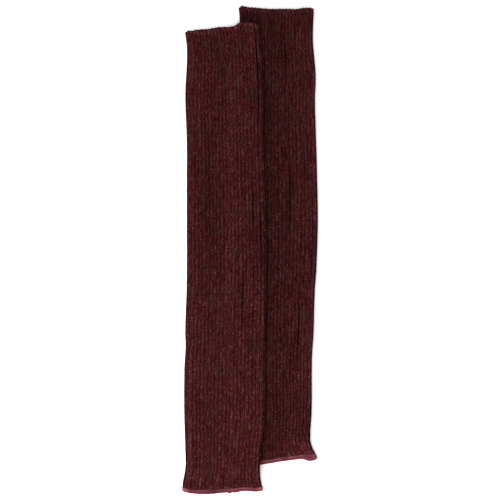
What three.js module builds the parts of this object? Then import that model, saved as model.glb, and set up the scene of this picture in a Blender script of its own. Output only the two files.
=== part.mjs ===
// A pair of rib knit leg warmers laid flat, one partly on the other. Millimetres, +Z up.
// +Y runs from the cast-on hems to the top edges, +X to the right, and Z = 0 is the surface under them.
import * as THREE from 'three';

// The rib cloth, knitted in the round: two layers that lie on each other between two side folds.
const RIBS_PER_FACE = 22;
const RIB_RELIEF = 0.8;
const RIB_HALF_CREST = 0.28; // as a share of the rib pitch
const RIB_END_SCALLOP = 0.6; // how far a rib's end stands past the valleys at the top edge
const FACE_WALL = 2.0; // at a valley between ribs
const BACK_WALL = 2.2;
const SIDE_WALL = 2.4;
const LAYER_GAP = 0.5;
const FOLD_RADIUS = (FACE_WALL + LAYER_GAP + BACK_WALL) / 2;
const TUBE_HEIGHT = 2 * FOLD_RADIUS + RIB_RELIEF;

// The solid-coloured band at each hem.
const SEAM_GAP = 0.3;
const HEM_RINGS = [
  { beyond: 0.0, inset: 0.0 },
  { beyond: 4.3, inset: 0.0 },
  { beyond: 5.3, inset: 0.7 },
];
const HEM_LENGTH = HEM_RINGS.at(-1).beyond;

// How the upper warmer lies on the lower one: it climbs beside the hidden edge and drops past the hem.
const RESTING_CLEARANCE = 0.3;
const LIFT = TUBE_HEIGHT + RESTING_CLEARANCE;
const CLIMB = { before: 17, past: 1.5 };
const DROP = { before: 2.5, length: 17 };

// How far from a tube's end its edge curve fades out, and how fast one layer's lead over the other does.
const EDGE_FADE = 60;
const LEAD_FADE = 14;

const MARL = { color: 0x3e1b1c, roughness: 0.95, metalness: 0 };
const RASPBERRY = { color: 0x7d3642, roughness: 0.9, metalness: 0 };

// One row of a table at each turn of the outline or crest of a fold. The `rings` rows give the number
// of sections in each stretch of the length, from the hem upwards.
const UPPER = {
  name: 'upper_leg',
  hemY: { left: -305.7, right: -304.7 },
  topY: { left: 280.8, right: 289.2 },
  leftSide: [
    { y: -311, x: -87.1 },
    { y: -305, x: -87.3 },
    { y: -300, x: -87.2 },
    { y: -291, x: -85.3 },
    { y: -278, x: -83.5 },
    { y: -252, x: -83.9 },
    { y: -213, x: -85.2 },
    { y: -155, x: -85.1 },
    { y: -124, x: -83.4 },
    { y: -104, x: -83.9 },
    { y: -40, x: -81.9 },
    { y: 64, x: -81.8 },
    { y: 141, x: -81.9 },
    { y: 198, x: -83.7 },
    { y: 245, x: -81.6 },
    { y: 265, x: -81.9 },
    { y: 280, x: -83.8 },
  ],
  rightSide: [
    { y: -311, x: 16.8 },
    { y: -305, x: 15.8 },
    { y: -291, x: 13.5 },
    { y: -274, x: 13.2 },
    { y: -256, x: 14.3 },
    { y: -232, x: 17.4 },
    { y: -207, x: 18.9 },
    { y: -142, x: 19.3 },
    { y: -39, x: 21.1 },
    { y: 12, x: 20.6 },
    { y: 115, x: 18.0 },
    { y: 154, x: 16.8 },
    { y: 193, x: 17.2 },
    { y: 232, x: 16.1 },
    { y: 257, x: 14.5 },
    { y: 275, x: 12.9 },
    { y: 285, x: 11.6 },
    { y: 290, x: 10.2 },
  ],
  topEdge: [
    { across: 0.0, rise: -1.0, lead: 0.0 },
    { across: 0.03, rise: 0.2, lead: 0.3 },
    { across: 0.1, rise: 0.2, lead: 0.6 },
    { across: 0.19, rise: 0.0, lead: 1.2 },
    { across: 0.37, rise: 0.2, lead: 1.2 },
    { across: 0.46, rise: 0.9, lead: 1.2 },
    { across: 0.57, rise: 0.5, lead: 1.1 },
    { across: 0.67, rise: 0.9, lead: 0.7 },
    { across: 0.75, rise: 4.0, lead: -0.5 },
    { across: 0.9, rise: 3.0, lead: -0.8 },
    { across: 0.97, rise: 0.8, lead: 0.0 },
    { across: 1.0, rise: 0.0, lead: 0.0 },
  ],
  hemEdge: [
    { across: 0.0, rise: 0.0, lead: 0.0 },
    { across: 0.09, rise: -2.3, lead: -0.4 },
    { across: 0.25, rise: -3.2, lead: -1.1 },
    { across: 0.42, rise: -2.7, lead: -0.9 },
    { across: 0.53, rise: -2.1, lead: 0.0 },
    { across: 0.66, rise: -1.4, lead: 0.0 },
    { across: 0.79, rise: -0.1, lead: 0.3 },
    { across: 0.91, rise: -1.2, lead: 0.0 },
    { across: 1.0, rise: -0.4, lead: 0.0 },
  ],
  crown: [
    { across: 0.0, lift: 0.0 },
    { across: 0.1, lift: 0.6 },
    { across: 0.4, lift: 0.8 },
    { across: 0.75, lift: 0.9 },
    { across: 0.92, lift: 0.6 },
    { across: 1.0, lift: 0.0 },
  ],
  troughs: [
    { across: 0.27, halfWidth: 0.09, from: -80, to: 200, depth: 0.7 },
    { across: 0.62, halfWidth: 0.07, from: -190, to: -20, depth: 0.5 },
    { across: 0.2, halfWidth: 0.08, from: -270, to: -120, depth: 0.4 },
    { across: 0.5, halfWidth: 0.1, from: 150, to: 300, depth: 0.4 },
  ],
  deepValleys: [
    { valley: 20, from: 100, to: 340, depth: 0.9 },
    { valley: 20, from: -60, to: 110, depth: 0.5 },
    { valley: 18, from: 10, to: 100, depth: 0.6 },
    { valley: 15, from: -120, to: -20, depth: 0.7 },
  ],
  underside: [0.03, 0.12, 0.24, 0.36, 0.46, 0.5, 0.54, 0.58, 0.61, 0.64, 0.67, 0.71, 0.78, 0.88, 0.97],
  rings: [
    { span: 45, count: 8 },
    { span: 65, count: 3 },
    { span: 385, count: 12 },
    { span: 65, count: 3 },
    { span: 30, count: 3 },
  ],
};

const LOWER = {
  name: 'lower_leg',
  hemY: { left: -274.7, right: -262.9 },
  topY: { left: 311.1, right: 310.3 },
  leftSide: [
    { y: -281, x: -21.0 },
    { y: -272, x: -19.4 },
    { y: -259, x: -16.2 },
    { y: -245, x: -14.8 },
    { y: -194, x: -15.2 },
    { y: -104, x: -16.8 },
    { y: 77, x: -17.8 },
    { y: 167, x: -16.8 },
    { y: 245, x: -14.4 },
    { y: 290, x: -13.6 },
    { y: 303, x: -13.9 },
    { y: 310, x: -14.9 },
  ],
  rightSide: [
    { y: -271, x: 87.4 },
    { y: -265, x: 85.8 },
    { y: -260, x: 83.7 },
    { y: -254, x: 80.4 },
    { y: -243, x: 77.9 },
    { y: -207, x: 79.8 },
    { y: -140, x: 80.2 },
    { y: -108, x: 82.2 },
    { y: -52, x: 83.9 },
    { y: -26, x: 85.8 },
    { y: 38, x: 87.7 },
    { y: 103, x: 86.6 },
    { y: 193, x: 84.1 },
    { y: 225, x: 85.0 },
    { y: 268, x: 81.5 },
    { y: 296, x: 81.9 },
    { y: 304, x: 82.5 },
    { y: 310, x: 82.2 },
  ],
  topEdge: [
    { across: 0.0, rise: 0.0, lead: 0.0 },
    { across: 0.04, rise: 2.8, lead: 0.0 },
    { across: 0.1, rise: 1.6, lead: 0.3 },
    { across: 0.2, rise: 0.3, lead: 0.6 },
    { across: 0.3, rise: -0.2, lead: 0.8 },
    { across: 0.45, rise: -1.2, lead: 0.8 },
    { across: 0.6, rise: -0.9, lead: 0.8 },
    { across: 0.76, rise: -1.0, lead: 0.8 },
    { across: 0.84, rise: 0.1, lead: 0.6 },
    { across: 0.93, rise: 0.8, lead: 0.2 },
    { across: 1.0, rise: 0.2, lead: 0.0 },
  ],
  hemEdge: [
    { across: 0.0, rise: 0.0, lead: 0.0 },
    { across: 0.3, rise: -0.4, lead: 0.0 },
    { across: 0.45, rise: 0.1, lead: 0.0 },
    { across: 0.58, rise: 1.0, lead: 0.0 },
    { across: 0.75, rise: 1.3, lead: 0.0 },
    { across: 0.83, rise: 1.8, lead: -1.3 },
    { across: 0.9, rise: 1.0, lead: -3.8 },
    { across: 0.95, rise: 0.4, lead: -3.2 },
    { across: 1.0, rise: 0.0, lead: -2.0 },
  ],
  crown: [
    { across: 0.0, lift: 0.0 },
    { across: 0.38, lift: 0.0 },
    { across: 0.5, lift: 0.5 },
    { across: 0.72, lift: 0.9 },
    { across: 0.92, lift: 0.6 },
    { across: 1.0, lift: 0.0 },
  ],
  troughs: [
    { across: 0.66, halfWidth: 0.08, from: -40, to: 180, depth: 0.6 },
    { across: 0.78, halfWidth: 0.07, from: -260, to: -60, depth: 0.5 },
    { across: 0.58, halfWidth: 0.08, from: 190, to: 330, depth: 0.3 },
  ],
  deepValleys: [
    { valley: 14, from: 0, to: 120, depth: 0.7 },
    { valley: 13, from: 225, to: 270, depth: 0.5 },
    { valley: 17, from: -160, to: -60, depth: 0.6 },
    { valley: 20, from: -120, to: 120, depth: 0.2 },
  ],
  underside: [0.03, 0.2, 0.4, 0.6, 0.8, 0.97],
  rings: [
    { span: 45, count: 7 },
    { span: 70, count: 3 },
    { span: 375, count: 11 },
    { span: 65, count: 3 },
    { span: 30, count: 3 },
  ],
};

const { clamp, lerp, smoothstep } = THREE.MathUtils;

// A smooth curve through a table's rows: `value` as a function of `key`, level beyond both ends.
function curveThrough(rows, key, value) {
  const slope = (a, b) => (b[value] - a[value]) / (b[key] - a[key]);
  const tangents = rows.map((row, i) => {
    const before = rows[Math.max(i - 1, 0)];
    const after = rows[Math.min(i + 1, rows.length - 1)];
    return slope(before, after);
  });
  return (at) => {
    const k = clamp(at, rows[0][key], rows.at(-1)[key]);
    const i = Math.max(rows.findIndex((row) => row[key] >= k), 1) - 1;
    const width = rows[i + 1][key] - rows[i][key];
    const s = (k - rows[i][key]) / width;
    const start = (1 + 2 * s) * rows[i][value] + s * width * tangents[i];
    const end = (3 - 2 * s) * rows[i + 1][value] - (1 - s) * width * tangents[i + 1];
    return (1 - s) ** 2 * start + s ** 2 * end;
  };
}

// A soft hill that is 1 midway between `from` and `to` and 0 outside them.
function hill(at, from, to) {
  const s = clamp((at - from) / (to - from), 0, 1);
  return Math.sin(Math.PI * s) ** 2;
}

// The curves that one warmer's tables describe.
function curvesOf(warmer) {
  return {
    left: curveThrough(warmer.leftSide, 'y', 'x'),
    right: curveThrough(warmer.rightSide, 'y', 'x'),
    topRise: curveThrough(warmer.topEdge, 'across', 'rise'),
    topLead: curveThrough(warmer.topEdge, 'across', 'lead'),
    hemRise: curveThrough(warmer.hemEdge, 'across', 'rise'),
    hemLead: curveThrough(warmer.hemEdge, 'across', 'lead'),
    crown: curveThrough(warmer.crown, 'across', 'lift'),
  };
}

const lowerCurves = curvesOf(LOWER);

// How high the surface under the upper warmer is at (x, y): zero, or the lower warmer's back.
function heightUnderUpper(x, y) {
  const edge = lowerCurves.left(y);
  const climbed = smoothstep(x, edge - CLIMB.before, edge + CLIMB.past);
  const across = clamp((x - edge) / (lowerCurves.right(y) - edge), 0, 1);
  const tubeEnd = lerp(LOWER.hemY.left, LOWER.hemY.right, across) + lowerCurves.hemRise(across);
  const hemEnd = tubeEnd - SEAM_GAP - HEM_LENGTH - DROP.before;
  const notDropped = smoothstep(y, hemEnd - DROP.length, hemEnd);
  return LIFT * climbed * notDropped;
}

function heightUnderLower() {
  return 0;
}

// One warmer's form: where its cloth lies for a share of the length, a share of the width, a height
// in its thickness and a layer. `back` is 0 on the face layer and 1 on the back layer.
class Form {
  constructor(warmer, heightUnder) {
    this.warmer = warmer;
    this.curves = curvesOf(warmer);
    this.heightUnder = heightUnder;
    this.length = warmer.topY.left - warmer.hemY.left;
  }

  // The two sides at `share` of the length, moved `beyond` past the hem.
  sides(share, beyond = 0) {
    const { hemY, topY } = this.warmer;
    const yLeft = lerp(hemY.left, topY.left, share) - beyond;
    const yRight = lerp(hemY.right, topY.right, share) - beyond;
    const left = new THREE.Vector2(this.curves.left(yLeft), yLeft);
    const right = new THREE.Vector2(this.curves.right(yRight), yRight);
    return { left, right };
  }

  // How far the edge curves move the cloth along Y.
  lengthwise(share, across, back) {
    const fromHem = share * this.length;
    const fromTop = (1 - share) * this.length;
    const { topRise, topLead, hemRise, hemLead } = this.curves;
    const rise =
      topRise(across) * smoothstep(EDGE_FADE - fromTop, 0, EDGE_FADE) +
      hemRise(across) * smoothstep(EDGE_FADE - fromHem, 0, EDGE_FADE);
    const lead =
      topLead(across) * smoothstep(LEAD_FADE - fromTop, 0, LEAD_FADE) +
      hemLead(across) * smoothstep(LEAD_FADE - fromHem, 0, LEAD_FADE);
    return rise + lead * back;
  }

  // How much the soft folds lift the face layer off the back layer.
  swell(across, y) {
    const lift = this.curves.crown(across);
    const sunk = this.warmer.troughs.map(
      (t) => t.depth * hill(across, t.across - t.halfWidth, t.across + t.halfWidth) * hill(y, t.from, t.to),
    );
    return Math.max(lift - sunk.reduce((sum, d) => sum + d, 0), 0);
  }

  // How much deeper than the rest the valley after rib `valley` is.
  valleyDepth(valley, y) {
    return this.warmer.deepValleys
      .filter((row) => row.valley === valley)
      .reduce((depth, row) => Math.max(depth, row.depth * hill(y, row.from, row.to)), 0);
  }

  place({ left, right }, share, across, height, back, extra = 0) {
    const x = lerp(left.x, right.x, across);
    const y = lerp(left.y, right.y, across) + this.lengthwise(share, across, back) + extra;
    return new THREE.Vector3(x, y, this.heightUnder(x, y) + height);
  }
}

// The face layer's outer line before the ribs are raised: a quarter fold up, straight over, a quarter
// fold down. Gives the place and the outward direction at a distance along it.
function faceLine(width, distance) {
  const foldLength = (Math.PI / 2) * FOLD_RADIUS;
  const flat = width - 2 * FOLD_RADIUS;
  const onLeft = distance < foldLength;
  const onRight = distance > foldLength + flat;
  const leftAngle = Math.PI - distance / FOLD_RADIUS;
  const rightAngle = Math.PI / 2 - (distance - foldLength - flat) / FOLD_RADIUS;
  if (!onLeft && !onRight) {
    return { u: FOLD_RADIUS + distance - foldLength, z: 2 * FOLD_RADIUS, nu: 0, nz: 1 };
  }
  const angle = onLeft ? leftAngle : rightAngle;
  const centre = onLeft ? FOLD_RADIUS : width - FOLD_RADIUS;
  const nu = Math.cos(angle);
  const nz = Math.sin(angle);
  return { u: centre + FOLD_RADIUS * nu, z: FOLD_RADIUS * (1 + nz), nu, nz };
}

// Where a section's ribs have points: the crests' two shoulders and the valleys, in rib pitches. A rib
// lies on each fold, so both ends of the line are half crests.
function ribMarks() {
  const marks = [{ at: 0, raised: 1 }, { at: RIB_HALF_CREST, raised: 1 }];
  for (let rib = 1; rib <= RIBS_PER_FACE; rib += 1) {
    marks.push({ at: rib - 0.5, raised: 0, valley: rib - 1 });
    marks.push({ at: rib - RIB_HALF_CREST, raised: 1 });
    if (rib < RIBS_PER_FACE) {
      marks.push({ at: rib + RIB_HALF_CREST, raised: 1 });
    }
  }
  marks.push({ at: RIBS_PER_FACE, raised: 1 });
  return marks;
}

const RIB_MARKS = ribMarks();
const LOWER_FOLD_TURNS = [0.35, 0.7]; // points of the fold's lower quarter, as shares of its turn

// The quarter fold down to the underside, on the right (side = 1) or the left (side = 0), from the
// widest point inwards.
function lowerFold(form, sides, share, { relief, inset }, side) {
  const width = sides.left.distanceTo(sides.right);
  return LOWER_FOLD_TURNS.map((turn) => {
    const angle = (turn * Math.PI) / 2;
    const inwards = (FOLD_RADIUS + relief) * (1 - Math.cos(angle)) + inset;
    const across = side ? 1 - inwards / width : inwards / width;
    const height = FOLD_RADIUS * (1 - Math.sin(angle));
    return { across, point: form.place(sides, share, across, Math.max(height, inset), 0.5 + turn / 2) };
  });
}

// The outer loop of a section: over the face from left to right, with ribs of height `relief`, and
// back along the flat underside. `inset` draws the whole loop in, and `beyond` moves it past the hem.
function outerLoop(form, share, { relief = 0, inset = 0, beyond = 0 }) {
  const sides = form.sides(share, beyond);
  const width = sides.left.distanceTo(sides.right);
  const margin = relief + inset;
  const lineWidth = width - 2 * margin;
  const pitch = (lineWidth + (Math.PI - 2) * FOLD_RADIUS) / RIBS_PER_FACE;
  const midY = (sides.left.y + sides.right.y) / 2;
  const face = RIB_MARKS.map(({ at, raised, valley }) => {
    const line = faceLine(lineWidth, at * pitch);
    const sunk = relief && valley !== undefined ? form.valleyDepth(valley, midY) : 0;
    const out = raised * relief - sunk;
    const across = (line.u + line.nu * out + margin) / width;
    const height = line.z + line.nz * (out - inset + form.swell(across, midY));
    const scallop = share === 1 ? raised * RIB_END_SCALLOP : 0;
    return { across, point: form.place(sides, share, across, height, 0.5 * (1 - line.nz), scallop) };
  });
  const under = [...form.warmer.underside].reverse().map((across) => {
    return { across, point: form.place(sides, share, across, inset, 1) };
  });
  const rightFold = lowerFold(form, sides, share, { relief, inset }, 1);
  const leftFold = lowerFold(form, sides, share, { relief, inset }, 0).reverse();
  return [...face, ...rightFold, ...under, ...leftFold];
}

// The inner loop of a section: the narrow space between the two layers.
function innerLoop(form, share, beyond = 0) {
  const sides = form.sides(share, beyond);
  const width = sides.left.distanceTo(sides.right);
  const midY = (sides.left.y + sides.right.y) / 2;
  const end = SIDE_WALL / width;
  const besideEnd = 2 * end;
  const tip = (across) => ({
    across,
    point: form.place(sides, share, across, BACK_WALL + LAYER_GAP / 2, 0.5),
  });
  const inside = form.warmer.underside.map((across) => lerp(besideEnd, 1 - besideEnd, across));
  const over = inside.map((across) => {
    const height = BACK_WALL + LAYER_GAP + form.swell(across, midY);
    return { across, point: form.place(sides, share, across, height, 0) };
  });
  const under = [...inside].reverse().map((across) => {
    return { across, point: form.place(sides, share, across, BACK_WALL, 1) };
  });
  return [tip(end), ...over, tip(1 - end), ...under];
}

// A loop's points numbered round it, 0 to 1 over the face and 1 to 2 back along the underside.
function turnsOf(loop) {
  const last = loop.reduce((best, { across }, i) => (across > loop[best].across ? i : best), 0);
  return loop.map(({ across }, i) => (i <= last ? across : 2 - across));
}

// A closed wall through rings of an outer and an inner loop, in order from the hem upwards.
function wallThrough(rings) {
  const positions = [];
  const indices = [];
  const starts = rings.map(({ outer, inner }) => {
    const start = { outer: positions.length / 3, inner: positions.length / 3 + outer.length };
    [...outer, ...inner].forEach(({ point }) => positions.push(point.x, point.y, point.z));
    return start;
  });
  const outerCount = rings[0].outer.length;
  const innerCount = rings[0].inner.length;
  const skin = (from, to, count, inwards) => {
    for (let i = 0; i < count; i += 1) {
      const j = (i + 1) % count;
      const [a, b] = inwards ? [i, j] : [j, i];
      indices.push(from + a, to + a, to + b, from + a, to + b, from + b);
    }
  };
  for (let k = 0; k + 1 < rings.length; k += 1) {
    skin(starts[k].outer, starts[k + 1].outer, outerCount, false);
    skin(starts[k].inner, starts[k + 1].inner, innerCount, true);
  }
  rim(rings[0], starts[0], true, indices);
  rim(rings.at(-1), starts.at(-1), false, indices);
  const geometry = new THREE.BufferGeometry();
  geometry.setAttribute('position', new THREE.Float32BufferAttribute(positions, 3));
  geometry.setIndex(indices);
  geometry.computeVertexNormals();
  return geometry;
}

// The rim of a wall: a strip of triangles between its outer and inner loops.
function rim({ outer, inner }, start, atHem, indices) {
  const outerTurns = [...turnsOf(outer), 2];
  const innerTurns = [...turnsOf(inner), 2];
  let o = 0;
  let i = 0;
  while (o < outer.length || i < inner.length) {
    const a = start.outer + (o % outer.length);
    const b = start.inner + (i % inner.length);
    const outerNext = o < outer.length && (i >= inner.length || outerTurns[o + 1] <= innerTurns[i + 1]);
    const c = outerNext ? start.outer + ((o + 1) % outer.length) : start.inner + ((i + 1) % inner.length);
    indices.push(...(atHem ? [a, b, c] : [a, c, b]));
    if (outerNext) {
      o += 1;
    } else {
      i += 1;
    }
  }
}

// The shares of the length at which a tube has its sections.
function ringShares({ rings }) {
  const total = rings.reduce((sum, { span }) => sum + span, 0);
  const shares = [0];
  let reached = 0;
  for (const { span, count } of rings) {
    for (let step = 1; step <= count; step += 1) {
      shares.push((reached + (span * step) / count) / total);
    }
    reached += span;
  }
  shares[shares.length - 1] = 1;
  return shares;
}

// The ribs run out into the plain cast-on edge at the hem.
function tube(form) {
  const rings = ringShares(form.warmer).map((share) => ({
    outer: outerLoop(form, share, { relief: share > 0 ? RIB_RELIEF : 0 }),
    inner: innerLoop(form, share),
  }));
  return wallThrough(rings);
}

function hemBand(form) {
  const rings = [...HEM_RINGS].reverse().map(({ beyond, inset }) => ({
    outer: outerLoop(form, 0, { inset, beyond: SEAM_GAP + beyond }),
    inner: innerLoop(form, 0, SEAM_GAP + beyond),
  }));
  return wallThrough(rings);
}

function piece(name, geometry, finish) {
  const mesh = new THREE.Mesh(geometry, new THREE.MeshStandardMaterial(finish));
  mesh.name = name;
  return mesh;
}

function legWarmer(warmer, heightUnder) {
  const form = new Form(warmer, heightUnder);
  const group = new THREE.Group();
  group.add(piece(`${warmer.name}_tube`, tube(form), MARL));
  group.add(piece(`${warmer.name}_hem`, hemBand(form), RASPBERRY));
  return group;
}

const pair = new THREE.Group();
pair.add(legWarmer(LOWER, heightUnderLower));
pair.add(legWarmer(UPPER, heightUnderUpper));

export default pair;
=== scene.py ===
"""A pair of rib knit leg warmers laid flat, one partly on the other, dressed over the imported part.

The frame is in metres, +Z up, with +Y from the cast-on hems to the top edges and Z = 0 under the
cloth. The cloth's own tables and sizes are in millimetres, and each mesh is made in metres.
"""

import logging
import math
from collections.abc import Callable, Sequence
from dataclasses import dataclass, field
from enum import Enum
from typing import NamedTuple

import bpy
import numpy as np
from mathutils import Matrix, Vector


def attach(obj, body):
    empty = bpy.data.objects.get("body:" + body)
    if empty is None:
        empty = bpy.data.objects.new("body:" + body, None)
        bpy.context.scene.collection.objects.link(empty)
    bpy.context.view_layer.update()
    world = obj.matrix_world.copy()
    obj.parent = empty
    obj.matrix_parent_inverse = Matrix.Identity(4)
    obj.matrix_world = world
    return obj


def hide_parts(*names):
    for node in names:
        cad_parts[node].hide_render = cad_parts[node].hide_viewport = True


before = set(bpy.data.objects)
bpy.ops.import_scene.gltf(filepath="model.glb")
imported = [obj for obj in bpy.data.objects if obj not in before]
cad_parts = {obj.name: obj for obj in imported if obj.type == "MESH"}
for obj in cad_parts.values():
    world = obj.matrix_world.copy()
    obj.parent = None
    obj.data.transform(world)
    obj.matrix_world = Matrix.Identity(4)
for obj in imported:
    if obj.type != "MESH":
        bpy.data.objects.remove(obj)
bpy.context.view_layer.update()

MM = 0.001
KNIT_MAP = "Knit"  # ribs round the tube, courses along it
TONE_MAP = "Tone"  # how light the yarn shows, its random tone with painted light and shade, and how pale
BAKE_MAP = "OFBake"  # the same faces as tidy strips
PATCH_FADE = 0.3  # share of a patch's length or width that it fades over at each end
TIP_TURN = 0.02  # turns from a side's inner tip to the next column of the inner skin

Colour = tuple[float, float, float]
Array = np.ndarray
Socket = bpy.types.NodeSocket
log = logging.getLogger("leg_warmers")


class Slot(Enum):
    """The record's material slots."""

    MARL = "marled_rib_knit"
    RASPBERRY = "raspberry_yarn"


class Side(NamedTuple):
    """A point of a tube's side edge, in millimetres."""

    y: float
    x: float


class Edge(NamedTuple):
    """A point of a tube's end: how far it stands up, and how far its back layer does beyond that."""

    across: float
    rise: float
    lead: float


class Crown(NamedTuple):
    """How much the soft cloth lifts its face layer at a share of the width."""

    across: float
    lift: float


class Trough(NamedTuple):
    """A soft crease down the face layer, from one place along Y to another."""

    across: float
    half_width: float
    start: float
    stop: float
    depth: float


class Furrow(NamedTuple):
    """A valley between two ribs that lies more open than the rest, for part of its length."""

    valley: int
    start: float
    stop: float
    depth: float


class Patch(NamedTuple):
    """A patch or a line of painted light or painted shade on the yarn, and perhaps paler.

    Its middle and half its width are in rib pitches round the tube, and its ends along Y.
    """

    turn: float
    half_width: float
    start: float
    stop: float
    light: float
    pale: float = 0.0


class Shade(NamedTuple):
    """How light the yarn shows at a share of the width, as painted light and shade, 1 to 2 on the back
    layer.
    """

    across: float
    light: float


class Knot(NamedTuple):
    """A small loop or tail that hangs below the band, at a place in rib pitches round it."""

    turn: float
    half_width: float
    drop: float


class Fibre(NamedTuple):
    """A pale loose fibre: where it starts, which way it runs and how far, in millimetres."""

    x: float
    y: float
    heading: float
    length: float


class Strand(NamedTuple):
    """The yarn at a distance from a rib's middle, in rib pitches: height, swell and lightness, which
    paints a little shade towards the valley.
    """

    off: float
    height: float
    swell: float
    tone: float


class Bead(NamedTuple):
    """A point of the cast-on band's profile: distance down it, height, lobes and lightness, which paints
    shade where the band meets the tube and in the groove above the rope, and light on the rope.
    """

    down: float
    out: float
    lobe: float
    tone: float


class Drift(NamedTuple):
    """Unevenness along the tube: rows from one random value to the next, and their spread."""

    step: int
    spread: float


@dataclass(frozen=True)
class RibCloth:
    """The rib cloth, knitted in the round, that both tubes are made of, in millimetres."""

    ribs_per_face: int = 22
    courses: int = 196
    relief: float = 0.8
    end_scallop: float = 0.6
    face_wall: float = 2.0
    back_wall: float = 2.2
    side_wall: float = 2.4
    layer_gap: float = 0.5
    edge_fade: float = 60.0
    lead_fade: float = 14.0
    band_length: float = 5.6
    resting_clearance: float = 0.3

    @property
    def ribs(self) -> int:
        """Ribs all round the tube."""
        return 2 * self.ribs_per_face

    @property
    def fold_radius(self) -> float:
        """Radius of the side folds' outer line."""
        return (self.face_wall + self.layer_gap + self.back_wall) / 2

    @property
    def tube_height(self) -> float:
        """Height of a flat tube over its ribs."""
        return 2 * self.fold_radius + self.relief


CLOTH = RibCloth()


@dataclass(frozen=True)
class Pattern:
    """One warmer's outline and its soft folds, a row at each turn or crest."""

    name: str
    hem_y: tuple[float, float]
    top_y: tuple[float, float]
    left_side: Sequence[Side]
    right_side: Sequence[Side]
    top_edge: Sequence[Edge]
    hem_edge: Sequence[Edge]
    crown: Sequence[Crown]
    troughs: Sequence[Trough]
    furrows: Sequence[Furrow]
    patches: Sequence[Patch]
    shades: Sequence[Shade]
    band_shades: Sequence[Shade]
    seed: int
    knots: Sequence[Knot] = ()
    fibres: Sequence[Fibre] = ()


UPPER = Pattern(
    name="upper_leg",
    hem_y=(-305.7, -304.7),
    top_y=(280.8, 289.2),
    left_side=(
        Side(-311, -87.1),
        Side(-305, -87.3),
        Side(-300, -87.2),
        Side(-291, -85.3),
        Side(-278, -83.5),
        Side(-252, -83.9),
        Side(-213, -85.2),
        Side(-155, -85.1),
        Side(-124, -83.4),
        Side(-104, -83.9),
        Side(-40, -81.9),
        Side(64, -81.8),
        Side(141, -81.9),
        Side(198, -83.7),
        Side(245, -81.6),
        Side(265, -81.9),
        Side(280, -83.8),
    ),
    right_side=(
        Side(-311, 16.8),
        Side(-305, 15.8),
        Side(-291, 13.5),
        Side(-274, 13.2),
        Side(-256, 14.3),
        Side(-232, 17.4),
        Side(-207, 18.9),
        Side(-142, 19.3),
        Side(-39, 21.1),
        Side(12, 20.6),
        Side(115, 18.0),
        Side(154, 16.8),
        Side(193, 17.2),
        Side(232, 16.1),
        Side(257, 14.5),
        Side(275, 12.9),
        Side(285, 11.6),
        Side(290, 10.2),
    ),
    top_edge=(
        Edge(0.0, -1.0, 0.0),
        Edge(0.03, 0.2, 0.3),
        Edge(0.1, 0.2, 0.6),
        Edge(0.19, 0.0, 1.2),
        Edge(0.37, 0.2, 1.2),
        Edge(0.46, 0.9, 1.2),
        Edge(0.57, 0.5, 1.1),
        Edge(0.67, 0.9, 0.7),
        Edge(0.75, 4.0, -0.5),
        Edge(0.9, 3.0, -0.8),
        Edge(0.97, 0.8, 0.0),
        Edge(1.0, 0.0, 0.0),
    ),
    hem_edge=(
        Edge(0.0, 0.0, 0.0),
        Edge(0.09, -2.3, -0.4),
        Edge(0.25, -3.2, -1.1),
        Edge(0.42, -2.7, -0.9),
        Edge(0.53, -2.1, 0.0),
        Edge(0.66, -1.4, 0.0),
        Edge(0.79, -0.1, 0.3),
        Edge(0.91, -1.2, 0.0),
        Edge(1.0, -0.4, 0.0),
    ),
    crown=(
        Crown(0.0, 0.0),
        Crown(0.1, 0.6),
        Crown(0.4, 0.8),
        Crown(0.75, 0.9),
        Crown(0.92, 0.6),
        Crown(1.0, 0.0),
    ),
    troughs=(
        Trough(0.27, 0.09, -80, 200, 0.7),
        Trough(0.62, 0.07, -190, -20, 0.5),
        Trough(0.2, 0.08, -270, -120, 0.4),
        Trough(0.5, 0.1, 150, 300, 0.4),
    ),
    furrows=(
        Furrow(20, 100, 340, 0.9),
        Furrow(20, -60, 110, 0.5),
        Furrow(18, 10, 100, 0.6),
        Furrow(15, -120, -20, 0.7),
    ),
    # painted light and shade: lit lines and dark outlines along both folds, a lit top rim where this
    # warmer lies over the other, and broad lighter and darker stretches
    patches=(
        Patch(1.42, 0.32, -315, -105, 1.85, 0.15),
        Patch(1.0, 0.3, -310, -250, 1.2, 0.15),
        Patch(1.0, 0.35, -255, -105, 0.65),
        Patch(1.4, 0.5, -80, 290, 1.2),
        Patch(0.4, 0.36, -310, -245, 0.3),
        Patch(21.1, 0.3, -312, -272, 1.3, 0.1),
        Patch(21.5, 0.4, -312, -240, 0.6),
        Patch(20.0, 2.6, 225, 330, 1.3),
        Patch(19.0, 4.2, 275, 312, 1.4, 0.05),
        Patch(18.5, 3.5, -290, -205, 1.18),
        Patch(6.8, 1.8, -150, 195, 0.87),
        Patch(6.5, 6.0, -100, 200, 0.94),
        Patch(19.5, 2.6, -70, 70, 0.82),
        Patch(1.6, 2.2, 200, 300, 1.12),
    ),
    knots=(Knot(12.9, 0.6, 1.5), Knot(14.4, 0.22, 1.0), Knot(15.2, 0.2, 0.9)),
    shades=(
        Shade(0.0, 0.83),
        Shade(0.2, 0.82),
        Shade(0.4, 0.8),
        Shade(0.6, 0.82),
        Shade(1.0, 0.84),
    ),
    band_shades=(
        Shade(0.0, 0.85),
        Shade(0.1, 0.72),
        Shade(0.5, 0.72),
        Shade(0.6, 0.95),
        Shade(1.0, 1.0),
        Shade(2.0, 0.8),
    ),
    seed=11,
)

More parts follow.
